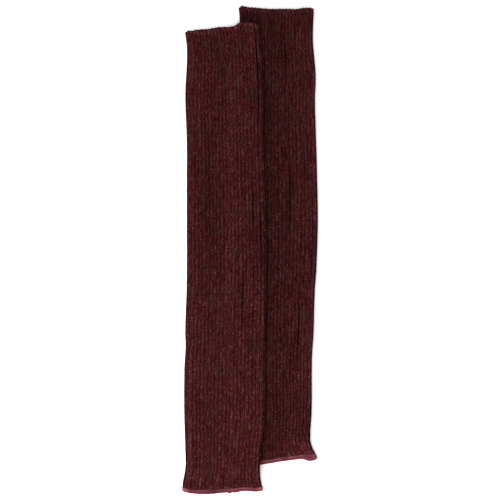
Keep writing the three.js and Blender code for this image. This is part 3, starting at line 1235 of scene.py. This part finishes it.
    def laid(self, rng: np.random.Generator, share: Array, heights: Array) -> Array:
        """Lays the outer skin, with the bind-off chain and a rounded rim at the top.

        Args:
            rng: The seeded source of unevenness.
            share: Each point's share of the length, from the hem upwards.
            heights: Each point's height over the cloth's line.

        Returns:
            Points in millimetres, rows by columns, the rim's rows last.
        """
        rows, rib = len(share), self.columns.rib
        from_top = (1 - share) * self.form.length
        full = smooth_step(share * self.form.length, 0.0, self.hem_fade)
        bind_off = 1 - smooth_step(from_top, self.bind_off_full, self.bind_off_start)
        level, wave, ripple = self.chain
        around = 2 * np.pi * self.columns.turns
        chain = level + wave * np.cos(around) + ripple * np.cos(2 * around)
        on_rib = 1 - 2 * self.columns.off
        point = rng.uniform(*self.loop_points, CLOTH.ribs)[rib]
        scallop = CLOTH.end_scallop * point * on_rib * bind_off
        wander = slow_noise(rng, rows, CLOTH.ribs, self.wander)[:, rib]
        rim = np.concatenate([np.zeros((rows, 2)), self.rim_rows])
        return self.form.outside(
            self.with_rim(share),
            self.with_rim(self.columns.turns + wander * on_rib * self.columns.fine),
            self.with_rim(mixed(heights, chain, bind_off) * full),
            self.with_rim(CLOTH.relief * full),
            inset=rim[:, 1:],
            along=self.with_rim(scallop) + rim[:, :1],
        )

    def build(self) -> bpy.types.Object:
        """Knits the tube.

        Returns:
            The finished piece.
        """
        pattern = self.form.pattern
        rng = np.random.default_rng(pattern.seed)
        self.columns = self.marked()
        rows = CLOTH.courses * self.rows_per_course + 1
        course = np.arange(rows)[:, None] / self.rows_per_course
        heights = self.stitched(rng, rows)
        from_end = np.minimum(course, CLOTH.courses - course)
        slant = self.stitch_slant * (np.minimum(self.columns.off, self.leg_end) / self.leg_end - 0.5)
        slant = slant * smooth_step(from_end, 0.0, self.slant_fade) * self.columns.fine
        share = (course + slant) / CLOTH.courses
        y = mixed(pattern.hem_y[0], pattern.top_y[0], share)
        heights = self.furrowed(heights, y)
        tone = self.toned(rng, share, y)
        self.skin = self.laid(rng, share, heights)

        rim_courses = CLOTH.courses + self.rim_course * np.arange(1, len(self.rim_rows) + 1)
        across = np.linspace(0.0, 1.0, self.inner_columns)
        up = np.linspace(0.0, 1.0, self.inner_rows + 1)[:, None]
        skin = Skin()
        skin.enclose(
            Wall(self.skin, self.columns.turns, np.append(course[:, 0], rim_courses)),
            Wall(self.form.inside(up, across), inner_turns(across), up[:, 0] * CLOTH.courses),
            self.tiles,
            strips=2,
            tone=self.with_rim(tone),
        )
        return skin.finish(f"{pattern.name}_rib_knit")


@dataclass
class CastOnBand:
    """The solid-coloured edge: a row of knit loops over a slanted cast-on rope."""

    form: Form
    marks_per_rib: int = 12
    inner_columns: int = 19
    loops_per_rib: int = 2
    rope_top: float = 3.3
    rope_slant: float = 0.28  # turns of a lobe for each millimetre down
    lobe_spread: float = 0.25
    lobe_drop: float = 0.06
    # painted light on the lobes that stand out, and painted shade between them
    lobe_tone: float = 0.25
    tone_drift: Drift = Drift(18, 0.2)
    # painted highlight near the folds
    fold_light: float = 0.35
    fold_reach: tuple[float, float] = (2.5, 0.3)  # rib pitches from a fold, to start and to full
    profile: tuple[Bead, ...] = (
        Bead(-0.25, -0.35, 0.0, 0.35),
        Bead(0.0, 0.1, 0.0, 0.5),
        Bead(0.4, 0.34, 0.05, 0.85),
        Bead(1.0, 0.48, 0.1, 1.1),
        Bead(1.8, 0.5, 0.1, 1.15),
        Bead(2.5, 0.42, 0.08, 1.1),
        Bead(3.0, 0.15, 0.05, 0.8),
        Bead(3.3, -0.05, 0.0, 0.6),
        Bead(3.55, 0.12, 0.1, 0.7),
        Bead(3.9, 0.4, 0.16, 1.0),
        Bead(4.3, 0.5, 0.18, 1.2),
        Bead(4.75, 0.36, 0.18, 1.3),
        Bead(5.15, 0.0, 0.12, 1.35),
        Bead(5.4, -0.5, 0.07, 1.3),
        Bead(5.6, -1.1, 0.03, 1.1),
    )
    tiles: Tiles = Tiles(
        outer=Tile(0.0, 0.0, 1.0, 0.6),
        inner=Tile(0.0, 0.62, 1.0, 0.75),
        hem=Tile(0.0, 0.77, 1.0, 0.86),
        top=Tile(0.0, 0.88, 1.0, 0.97),
    )

    def hung(self, down: Array, lobes: Array, turns: Array) -> Array:
        """How far down the band's points hang, with the lobes' drop and the knots under the edge.

        Args:
            down: Distances below the tube, in millimetres.
            lobes: How far each point stands out by the lobes.
            turns: Ribs round the tube.

        Returns:
            The distances below the tube, as they hang.
        """
        most = column(self.profile, "lobe").max()
        lowest = smooth_step(down, self.rope_top, self.profile[-1].down)
        fall = down + self.lobe_drop * lobes / most
        for knot in self.form.pattern.knots:
            here = hill(turns, knot.turn - knot.half_width, knot.turn + knot.half_width)
            fall = fall + knot.drop * lowest * here
        return fall

    def build(self) -> bpy.types.Object:
        """Works the band.

        Returns:
            The finished piece.
        """
        pattern = self.form.pattern
        rng = np.random.default_rng(pattern.seed + 1)
        turns = np.arange(CLOTH.ribs * self.marks_per_rib) / self.marks_per_rib
        columns = Columns(turns, np.ones_like(turns))
        down, out, lobe, tone = (column(self.profile, name)[:, None] for name in Bead._fields)
        uneven = 1 + self.lobe_spread * rng.normal(size=CLOTH.ribs * self.loops_per_rib)
        loop = np.floor(turns * self.loops_per_rib).astype(int)
        slant = self.rope_slant * np.maximum(down - self.rope_top, 0.0)
        lobes = lobe * uneven[loop] * np.cos(2 * np.pi * (turns * self.loops_per_rib + slant))
        heights = out + lobes
        beyond = self.hung(down, lobes, turns)
        points = self.form.outside(0 * heights, turns + 0 * heights, heights, 0.0, beyond=beyond)
        resting = self.form.height_under(points[..., 0], points[..., 1])
        points[..., 2] = np.maximum(points[..., 2], resting)

        wander = slow_noise(rng, len(turns), 2, self.tone_drift)[:, 0]
        # random drift round the band, and painted light on the lobes that stand out
        tone = tone * np.exp(wander + self.lobe_tone * lobes / lobe.max())
        # painted light and shade along the band
        tone = tone * curve_through(pattern.band_shades, "across", "light")(turns / CLOTH.ribs_per_face)
        # painted highlight, lighter and pinker, where the band rounds a fold on the face
        at_fold = smooth_step(-columns.from_fold, -self.fold_reach[0], -self.fold_reach[1])
        at_fold = at_fold * (turns < CLOTH.ribs_per_face)
        tone = np.stack([tone * (1 + self.fold_light * at_fold), at_fold + 0 * tone], axis=-1)

        across = np.linspace(0.0, 1.0, self.inner_columns)
        ends = down[[-1, 0]]
        skin = Skin()
        skin.enclose(
            Wall(points[::-1], turns, -down[::-1, 0]),
            Wall(self.form.inside(0 * ends, across, beyond=ends), inner_turns(across), -ends[:, 0]),
            self.tiles,
            strips=1,
            tone=tone[::-1],
        )
        return skin.finish(f"{pattern.name}_cast_on_band")


@dataclass
class Fuzz:
    """Short wool hairs that stand off the rib cloth, in one joined mesh."""

    tube: RibTube
    hairs: int = 2600
    length: tuple[float, float] = (1.6, 5.5)
    radius: float = 0.035
    tip: float = 0.35  # share of the radius that is left at a hair's tip
    heading_spread: float = 0.9
    bend_spread: float = 0.8
    lift: tuple[float, float] = (0.25, 1.1)
    arch: float = 0.62  # half turns of the arch that a hair makes
    sunk: float = 0.05
    pale_share: float = 0.009
    pale_radius: float = 0.06
    fibre_radius: float = 0.2
    fibre_bend: float = 0.2
    fibre_lift: float = 1.0
    hem_rows: int = 4  # rows near each end that no hair starts in
    top_rows: int = 6
    lowest: float = 0.2
    near_rows: int = 2  # rows and columns on each side of a root that give its directions
    near_columns: int = 3
    steps: int = 3
    sides: int = 3

    def lines(self, root: Array, ways: tuple[Array, Array, Array], shape: dict[str, Array]) -> Array:
        """The hairs' middle lines.

        Args:
            root: Where each hair starts.
            ways: Unit vectors along the tube, sideways and outwards there.
            shape: Each hair's heading, bend, length and lift.

        Returns:
            Points in millimetres, hairs by steps.
        """
        along, sideways, outward = ways
        line = []
        for s in np.arange(self.steps + 1) / self.steps:
            way = shape["heading"] + shape["bend"] * s
            flat = np.cos(way)[:, None] * along + np.sin(way)[:, None] * sideways
            rise = shape["lift"] * math.sin(math.pi * self.arch * s) - self.sunk
            line.append(root + flat * (shape["length"] * s)[:, None] + outward * rise[:, None])
        line = np.stack(line, axis=1)
        line[..., 2] = np.maximum(line[..., 2], self.lowest)
        return line

    def swept(self, line: Array, outward: Array, radius: Array) -> Array:
        """Sweeps a thin round section along the hairs' lines.

        Args:
            line: Points of the lines, hairs by steps.
            outward: Each hair's way out of the cloth.
            radius: Each hair's radius in millimetres.

        Returns:
            Rings of points, hairs by steps by sides.
        """
        tangent = unit(np.gradient(line, axis=1))
        first = unit(np.cross(tangent, outward[:, None, :]))
        second = np.cross(tangent, first)
        taper = mixed(1.0, self.tip, np.arange(self.steps + 1) / self.steps)
        thick = radius[:, None, None] * taper[None, :, None]
        angles = 2 * np.pi * np.arange(self.sides) / self.sides
        rings = [line + thick * (math.cos(a) * first + math.sin(a) * second) for a in angles]
        return np.stack(rings, axis=2)

    def hair_faces(self) -> list[list[int]]:
        """The faces of one hair, closed at both ends.

        Returns:
            Faces by the numbers of their corners.
        """
        faces = [list(range(self.sides))[::-1]]
        for k in range(self.steps):
            for i in range(self.sides):
                a, b = self.sides * k + i, self.sides * k + (i + 1) % self.sides
                faces.append([a, b, b + self.sides, a + self.sides])
        faces.append([self.sides * self.steps + i for i in range(self.sides)])
        return faces

    def build(self) -> bpy.types.Object:
        """Plants the hairs.

        Returns:
            The finished piece.
        """
        pattern, skin = self.tube.form.pattern, self.tube.skin
        rng = np.random.default_rng(pattern.seed + 2)
        rows, columns = skin.shape[:2]
        shown = np.flatnonzero(self.tube.columns.from_fold > 0)
        row = rng.integers(self.hem_rows, rows - self.top_rows, self.hairs)
        at = rng.choice(shown, self.hairs)
        heading = rng.normal(scale=self.heading_spread, size=self.hairs)
        heading = heading + np.where(rng.random(self.hairs) < 0.5, 0, np.pi)
        bend = rng.normal(scale=self.bend_spread, size=self.hairs)
        length = rng.uniform(*self.length, self.hairs)
        lift = rng.uniform(*self.lift, self.hairs)
        pale = rng.random(self.hairs) < self.pale_share
        radius = np.where(pale, self.pale_radius, self.radius)
        for k, fibre in enumerate(pattern.fibres):
            free = skin[self.hem_rows : -self.top_rows, shown]
            near = np.hypot(free[..., 0] - fibre.x, free[..., 1] - fibre.y)
            nearest = np.unravel_index(np.argmin(near), near.shape)
            row[k], at[k] = nearest[0] + self.hem_rows, shown[nearest[1]]
            heading[k], length[k] = fibre.heading, fibre.length
            bend[k], lift[k] = self.fibre_bend, self.fibre_lift
            pale[k], radius[k] = True, self.fibre_radius
        tone = rng.random(self.hairs)

        along = skin[row + self.near_rows, at] - skin[row - self.near_rows, at]
        across = skin[row, (at + self.near_columns) % columns]
        across = across - skin[row, (at - self.near_columns) % columns]
        outward = unit(np.cross(across, along))
        along = unit(along)
        shape = {"heading": heading, "bend": bend, "length": length, "lift": lift}
        line = self.lines(skin[row, at], (along, np.cross(along, outward), outward), shape)
        points = self.swept(line, outward, radius).reshape(-1, 3)

        one = self.hair_faces()
        per_hair = self.sides * (self.steps + 1)
        faces = [[c + per_hair * n for c in face] for n in range(self.hairs) for face in one]
        places = np.repeat(np.stack([tone, pale], axis=1), sum(len(face) for face in one), axis=0)
        return new_piece(f"{pattern.name}_fuzz", points, faces, {KNIT_MAP: places})


class Grain(NamedTuple):
    """How many times a pattern changes in one rib pitch round the tube, and in one course along it."""

    round_it: float
    along: float


class Nodes:
    """A material's node tree, with short calls for the nodes that the finishes use."""

    def __init__(self, name: str) -> None:
        """Starts a material with a plain shader.

        Args:
            name: The material's name.
        """
        self.material = bpy.data.materials.new(name)
        self.material.use_nodes = True
        self.tree = self.material.node_tree
        self.shader = next(n for n in self.tree.nodes if n.type == "BSDF_PRINCIPLED")

    def feed(self, socket: Socket, value: object) -> None:
        """Links a socket to another, or sets its value.

        Args:
            socket: The socket to feed.
            value: Another socket, a number or a colour.
        """
        if isinstance(value, Socket):
            self.tree.links.new(value, socket)
        elif isinstance(value, tuple) and socket.type == "RGBA":
            socket.default_value = (*value, 1.0)
        else:
            socket.default_value = value

    def add(self, kind: str, inputs: dict[str | int, object], **settings: object) -> bpy.types.Node:
        """Adds a node.

        Args:
            kind: Blender's name of the node.
            inputs: Values or sockets for its inputs, by name or number.
            **settings: The node's own settings.

        Returns:
            The node.
        """
        node = self.tree.nodes.new(kind)
        for key, value in settings.items():
            setattr(node, key, value)
        for key, value in inputs.items():
            self.feed(node.inputs[key], value)
        return node

    def math(self, operation: str, *values: object) -> Socket:
        """The result of a math node on one to three values."""
        return self.add("ShaderNodeMath", dict(enumerate(values)), operation=operation).outputs[0]

    def pair(self, x: object, y: object) -> Socket:
        """A vector of two values."""
        return self.add("ShaderNodeCombineXYZ", {"X": x, "Y": y}).outputs[0]

    def triple(self, x: object, y: object, z: object) -> Socket:
        """A vector, or a colour, of three values."""
        return self.add("ShaderNodeCombineXYZ", {"X": x, "Y": y, "Z": z}).outputs[0]

    def step(self, value: object, low: float, high: float) -> Socket:
        """Goes smoothly from 0 at `low` to 1 at `high`."""
        inputs = {"Value": value, "From Min": low, "From Max": high}
        return self.add("ShaderNodeMapRange", inputs, interpolation_type="SMOOTHSTEP").outputs[0]

    def at(self, u: Socket, v: Socket, grain: Grain, layer: float = 0.0) -> Socket:
        """Where a pattern of some grain is read."""
        across = self.math("MULTIPLY", u, grain.round_it)
        return self.triple(across, self.math("MULTIPLY", v, grain.along), layer)

    def cell(self, u: Socket, v: Socket, grain: Grain) -> Socket:
        """The corner of the pattern's cell."""
        across = self.math("FLOOR", self.math("MULTIPLY", u, grain.round_it))
        return self.pair(across, self.math("FLOOR", self.math("MULTIPLY", v, grain.along)))

    def noise(self, vector: object, scale: float = 1.0, detail: float = 2.0) -> Socket:
        """Smooth noise, 0 to 1, with a middle of 0.5."""
        inputs = {"Vector": vector, "Scale": scale, "Detail": detail}
        return self.add("ShaderNodeTexNoise", inputs, noise_dimensions="3D").outputs[0]

    def random(self, vector: object) -> Socket:
        """A random value, 0 to 1, for each cell."""
        return self.add("ShaderNodeTexWhiteNoise", {"Vector": vector}, noise_dimensions="2D").outputs[0]

    def mix(self, factor: object, a: object, b: object, blend: str = "MIX") -> Socket:
        """Two colours mixed."""
        node = self.add("ShaderNodeMix", {0: factor, 6: a, 7: b}, data_type="RGBA", blend_type=blend)
        return node.outputs[2]

    def place(self, map_name: str) -> tuple[Socket, Socket]:
        """Reads a named map.

        Args:
            map_name: The map's name.

        Returns:
            Its two coordinates.
        """
        source = self.add("ShaderNodeUVMap", {}, uv_map=map_name).outputs[0]
        parts = self.add("ShaderNodeSeparateXYZ", {0: source})
        return parts.outputs[0], parts.outputs[1]

    def bump(self, height: object, distance: float, strength: float) -> None:
        """Feeds the shader's normal with a bump, its distance in metres."""
        node = self.add("ShaderNodeBump", {"Height": height, "Distance": distance, "Strength": strength})
        self.tree.links.new(node.outputs[0], self.shader.inputs["Normal"])

    def surface(self, colour: object, **sockets: object) -> bpy.types.Material:
        """Sets the shader's colour and its constant sockets.

        Args:
            colour: The base colour.
            **sockets: Values by socket name, with _ for a space.

        Returns:
            The material.
        """
        self.feed(self.shader.inputs["Base Color"], colour)
        for name, value in sockets.items():
            self.feed(self.shader.inputs[name.replace("_", " ")], value)
        return self.material


@dataclass(frozen=True)
class MarledWool:
    """A two-ply yarn, near-black burgundy twisted with red, in slanted knit stitches."""

    dark: Colour = (0.0110, 0.0027, 0.0027)
    red: Colour = (0.0634, 0.0099, 0.0104)
    tints: tuple[tuple[Colour, float], ...] = (
        ((0.0234, 0.0093, 0.0070), 3.7),  # brown, and where its noise is read
        ((0.0345, 0.0068, 0.0107), 9.1),  # plum
    )
    tint_grain: Grain = Grain(0.45, 0.28)
    tint_share: float = 0.6
    tint_edge: tuple[float, float] = (0.5, 0.68)
    leg: float = 0.19  # distance of a stitch's leg from the rib's middle, in rib pitches
    twist: float = 0.8  # ply turns in each stitch
    slant: float = 2.4  # ply turns across a rib
    chance: float = 0.7  # ply turns by which stitches differ
    drift: float = 1.6  # ply turns by which the twist drifts
    drift_grain: Grain = Grain(3.0, 0.45)
    patch_grain: Grain = Grain(0.9, 0.16)
    patch_weight: float = 1.5
    ply_edge: tuple[float, float] = (-0.6, 0.8)
    hair_grain: Grain = Grain(26.0, 7.0)
    hair_shade: tuple[float, float] = (0.8, 0.6)
    paleness: float = 1.05
    speck: Colour = (0.17, 0.08, 0.08)
    speck_grain: Grain = Grain(7.0, 3.0)
    speck_rarity: float = 0.998
    speck_share: float = 0.5
    ply_height: float = 0.6
    hair_height: float = 0.7
    relief: tuple[float, float] = (0.0003, 0.8)  # depth in metres, and strength

    def ply(self, n: Nodes, u: Socket, v: Socket) -> tuple[Socket, Socket]:
        """The two plies, wound round each stitch's legs.

        Args:
            n: The material's nodes.
            u: Ribs round the tube.
            v: Courses along it.

        Returns:
            The share of the red ply, and the wave that it follows.
        """
        rib = n.math("FLOOR", n.math("ADD", u, 0.5))
        off = n.math("SUBTRACT", u, rib)
        side = n.math("SIGN", off)
        leg = n.math("MULTIPLY_ADD", side, 0.25, rib)  # a value of its own for each leg
        across = n.math("MULTIPLY", n.math("SUBTRACT", n.math("ABSOLUTE", off), self.leg), side)
        chance = n.random(n.pair(leg, n.math("FLOOR", v)))
        drift = n.math("MULTIPLY", n.noise(n.at(u, v, self.drift_grain)), self.drift)
        twist = n.math("MULTIPLY", across, self.slant)
        twist = n.math("MULTIPLY_ADD", n.math("FRACT", v), self.twist, twist)
        twist = n.math("ADD", twist, n.math("MULTIPLY_ADD", chance, self.chance, drift))
        wave = n.math("SINE", n.math("MULTIPLY", twist, 2 * math.pi))
        patch = n.math("SUBTRACT", n.noise(n.at(u, v, self.patch_grain), detail=3.0), 0.5)
        return n.step(n.math("MULTIPLY_ADD", patch, self.patch_weight, wave), *self.ply_edge), wave

    def make(self) -> bpy.types.Material:
        """Makes the material from the knit and tone maps.

        Returns:
            The material.
        """
        n = Nodes("marled_wool")
        u, v = n.place(KNIT_MAP)
        # the tone map's lightness carries the yarn's random tone and the painted light and shade
        tone, pale = n.place(TONE_MAP)
        ply, wave = self.ply(n, u, v)
        colour = n.mix(ply, self.dark, self.red)
        for tint, layer in self.tints:
            share = n.step(n.noise(n.at(u, v, self.tint_grain, layer)), *self.tint_edge)
            colour = n.mix(n.math("MULTIPLY", share, self.tint_share), colour, tint)
        hair = n.noise(n.at(u, v, self.hair_grain), detail=3.0)
        shade = n.math("MULTIPLY_ADD", hair, *self.hair_shade)
        light = n.math("MULTIPLY", shade, tone)
        # green and blue follow the lightness more steeply, so darker yarn, painted shade included, shows
        # redder
        pale = n.math("MULTIPLY", pale, n.math("MULTIPLY", shade, self.paleness))
        paler = n.math("MULTIPLY", light, pale)
        colour = n.mix(1.0, colour, n.triple(light, paler, paler), "MULTIPLY")
        chance = n.random(n.cell(u, v, self.speck_grain))
        speck = n.math("GREATER_THAN", chance, self.speck_rarity)
        colour = n.mix(n.math("MULTIPLY", speck, self.speck_share), colour, self.speck)
        groove = n.math("MULTIPLY", n.math("SQRT", n.math("ABSOLUTE", wave)), self.ply_height)
        n.bump(n.math("MULTIPLY_ADD", hair, self.hair_height, groove), *self.relief)
        return n.surface(
            colour,
            Roughness=0.92,
            Specular_IOR_Level=0.015,
            Sheen_Weight=0.012,
            Sheen_Roughness=0.5,
            Sheen_Tint=(0.7, 0.35, 0.35),
        )


@dataclass(frozen=True)
class RaspberryWool:
    """The solid yarn of the bands: a pinkish loop row over a stronger red rope."""

    rope: Colour = (0.140, 0.0185, 0.030)
    loops: Colour = (0.100, 0.028, 0.034)
    # painted shade, mixed in most in the grooves between the rope's strands
    shade: Colour = (0.034, 0.0055, 0.008)
    # painted highlight, pinker, where the band rounds a fold
    bright: Colour = (0.19, 0.060, 0.064)
    fold_highlight_share: float = 0.5
    split: float = -3.3
    blend: float = 0.3
    hair_grain: Grain = Grain(30.0, 3.0)
    hair_shade: tuple[float, float] = (0.6, 0.7)
    strands: float = 4.0  # strands of the rope in each rib pitch
    dullest: float = 0.35  # share of the painted shade in a groove between strands
    dull_range: float = -0.3  # change of that share from a groove to a strand's crown
    crown_edge: tuple[float, float] = (-1.0, 0.6)
    strand_height: float = 0.5
    hair_height: float = 0.8
    relief: tuple[float, float] = (0.0002, 0.7)  # depth in metres, and strength

    def make(self) -> bpy.types.Material:
        """Makes the material from the knit and tone maps.

        Returns:
            The material.
        """
        n = Nodes("raspberry_wool")
        u, v = n.place(KNIT_MAP)
        tone, fold_highlight_mask = n.place(TONE_MAP)
        rope = n.step(v, self.split + self.blend, self.split - self.blend)
        hair = n.noise(n.at(u, v, self.hair_grain), detail=3.0)
        around = n.math("MULTIPLY_ADD", u, self.strands, v)
        twist = n.math("SINE", n.math("MULTIPLY", around, 2 * math.pi))
        colour = n.mix(rope, self.loops, self.rope)
        # painted highlight near the folds
        colour = n.mix(n.math("MULTIPLY", fold_highlight_mask, self.fold_highlight_share), colour, self.bright)
        crown = n.step(twist, *self.crown_edge)
        # painted shade in the grooves between strands, less on their crowns
        colour = n.mix(n.math("MULTIPLY_ADD", crown, self.dull_range, self.dullest), colour, self.shade)
        light = n.math("MULTIPLY", n.math("MULTIPLY_ADD", hair, *self.hair_shade), tone)
        colour = n.mix(1.0, colour, n.triple(light, light, light), "MULTIPLY")
        groove = n.math("MULTIPLY", twist, self.strand_height)
        n.bump(n.math("MULTIPLY_ADD", hair, self.hair_height, groove), *self.relief)
        return n.surface(
            colour,
            Roughness=0.9,
            Specular_IOR_Level=0.05,
            Sheen_Weight=0.04,
            Sheen_Roughness=0.5,
            Sheen_Tint=(0.9, 0.4, 0.45),
        )


@dataclass(frozen=True)
class HairWool:
    """Loose hairs: dark, red, and now and then pale."""

    dark: Colour = (0.020, 0.005, 0.006)
    red: Colour = (0.100, 0.020, 0.022)
    pale: Colour = (0.24, 0.15, 0.14)

    def make(self) -> bpy.types.Material:
        """Makes the material from each hair's own tone.

        Returns:
            The material.
        """
        n = Nodes("wool_hairs")
        tone, pale = n.place(KNIT_MAP)
        colour = n.mix(tone, self.dark, self.red)
        colour = n.mix(pale, colour, self.pale)
        return n.surface(colour, Roughness=0.9, Specular_IOR_Level=0.1)


@dataclass(frozen=True)
class PaperFloor:
    """A plain pale sweep of paper."""

    colour: Colour = (0.93, 0.93, 0.93)
    tooth_scale: float = 900.0
    relief: tuple[float, float] = (0.00005, 0.2)  # depth in metres, and strength

    def make(self) -> bpy.types.Material:
        """Makes the material, with a faint tooth.

        Returns:
            The material.
        """
        n = Nodes("pale_paper")
        source = n.add("ShaderNodeTexCoord", {}).outputs["Object"]
        n.bump(n.noise(source, self.tooth_scale), *self.relief)
        return n.surface(self.colour, Roughness=0.95, Specular_IOR_Level=0.1)


class Finishes:
    """The materials that the pieces share."""

    def __init__(self) -> None:
        """Makes each material once."""
        self.marl = MarledWool().make()
        self.raspberry = RaspberryWool().make()
        self.hair = HairWool().make()
        self.paper = PaperFloor().make()


def dress(piece: bpy.types.Object, material: bpy.types.Material) -> None:
    """Gives a piece its one material."""
    piece.data.materials.clear()
    piece.data.materials.append(material)


@dataclass
class LegWarmer:
    """One leg warmer: its rib tube, its cast-on band and its fuzz."""

    form: Form
    rests_on: tuple[str, ...]
    flat_width: float = 0.196  # metres round the tube, as knitted
    flat_length: float = 0.592  # metres along it

    def build(self, finishes: Finishes) -> list[bpy.types.Object]:
        """Makes and dresses the warmer's pieces.

        Args:
            finishes: The shared materials.

        Returns:
            The pieces.
        """
        name = self.form.pattern.name
        tube = RibTube(self.form)
        knit = tube.build()
        band = CastOnBand(self.form).build()
        fuzz = Fuzz(tube).build()
        for piece, material, slot in (
            (knit, finishes.marl, Slot.MARL),
            (band, finishes.raspberry, Slot.RASPBERRY),
            (fuzz, finishes.hair, Slot.MARL),
        ):
            dress(piece, material)
            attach(piece, "root")
        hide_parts(f"{name}_tube")
        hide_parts(f"{name}_hem")
        return [knit, band, fuzz]


@dataclass
class Studio:
    """The pale floor, the soft lights and the camera straight above, in metres and watts."""

    floor_size: float = 12.0
    floor_drop: float = 0.0001
    camera_height: float = 1.606
    framed: float = 0.645  # width of the picture at the height below
    framed_height: float = 0.0025
    key_place: tuple[float, float, float] = (-0.75, -0.85, 0.75)
    key_size: float = 0.7
    key_power: float = 28.0
    top_place: tuple[float, float, float] = (-0.3, 0.0, 2.4)
    top_size: float = 1.6
    top_power: float = 11.0
    sky: float = 1.1

    def build(self, finishes: Finishes) -> bpy.types.Object:
        """Sets up the studio.

        Args:
            finishes: The shared materials.

        Returns:
            The floor.
        """
        bpy.ops.object.select_all(action="DESELECT")
        bpy.ops.mesh.primitive_plane_add(size=self.floor_size)
        floor = bpy.context.object
        floor.name = "floor"
        floor.data.transform(floor.matrix_world)
        floor.location = (0.0, 0.0, 0.0)
        for vertex in floor.data.vertices:
            vertex.co.z -= self.floor_drop
        dress(floor, finishes.paper)
        self.light("key", self.key_place, self.key_size, self.key_power)
        self.light("top", self.top_place, self.top_size, self.top_power)
        world = bpy.data.worlds.new("studio")
        world.use_nodes = True
        world.node_tree.nodes["Background"].inputs["Color"].default_value = (1.0, 1.0, 1.0, 1.0)
        world.node_tree.nodes["Background"].inputs["Strength"].default_value = self.sky
        bpy.context.scene.world = world
        bpy.context.scene.view_settings.view_transform = "Standard"
        self.camera()
        return floor

    def light(self, name: str, place: tuple[float, float, float], size: float, power: float) -> None:
        """Adds a soft square light that faces the cloth.

        Args:
            name: Its name.
            place: Where it stands, in metres.
            size: Its side in metres.
            power: Its power in watts.
        """
        bpy.ops.object.light_add(type="AREA", location=place)
        lamp = bpy.context.object
        lamp.name = name
        lamp.data.size = size
        lamp.data.energy = power
        lamp.visible_camera = False
        lamp.rotation_euler = (-Vector(place)).to_track_quat("-Z", "Y").to_euler()

    def camera(self) -> None:
        """Adds the camera, looking straight down with +Y up in the picture."""
        bpy.ops.object.camera_add(location=(0.0, 0.0, self.camera_height), rotation=(0.0, 0.0, 0.0))
        camera = bpy.context.object
        distance = self.camera_height - self.framed_height
        camera.data.lens = camera.data.sensor_width * distance / self.framed
        bpy.context.scene.camera = camera


def main() -> None:
    """Builds the pair and its studio, and reports each piece."""
    logging.basicConfig(level=logging.INFO, format="%(message)s")
    finishes = Finishes()
    lower = Form(LOWER, lambda x, y: 0 * x)
    upper = Form(UPPER, Bed(lower).height)
    warmers = (
        LegWarmer(lower, rests_on=("floor",)),
        LegWarmer(upper, rests_on=("lower_leg_rib_knit", "floor")),
    )
    floor = Studio().build(finishes)
    log.info("%s: %d faces", floor.name, len(floor.data.polygons))
    for warmer in warmers:
        for piece in warmer.build(finishes):
            piece.data.calc_loop_triangles()
            log.info("%s: %d triangles", piece.name, len(piece.data.loop_triangles))


if __name__ == "__main__":
    main()
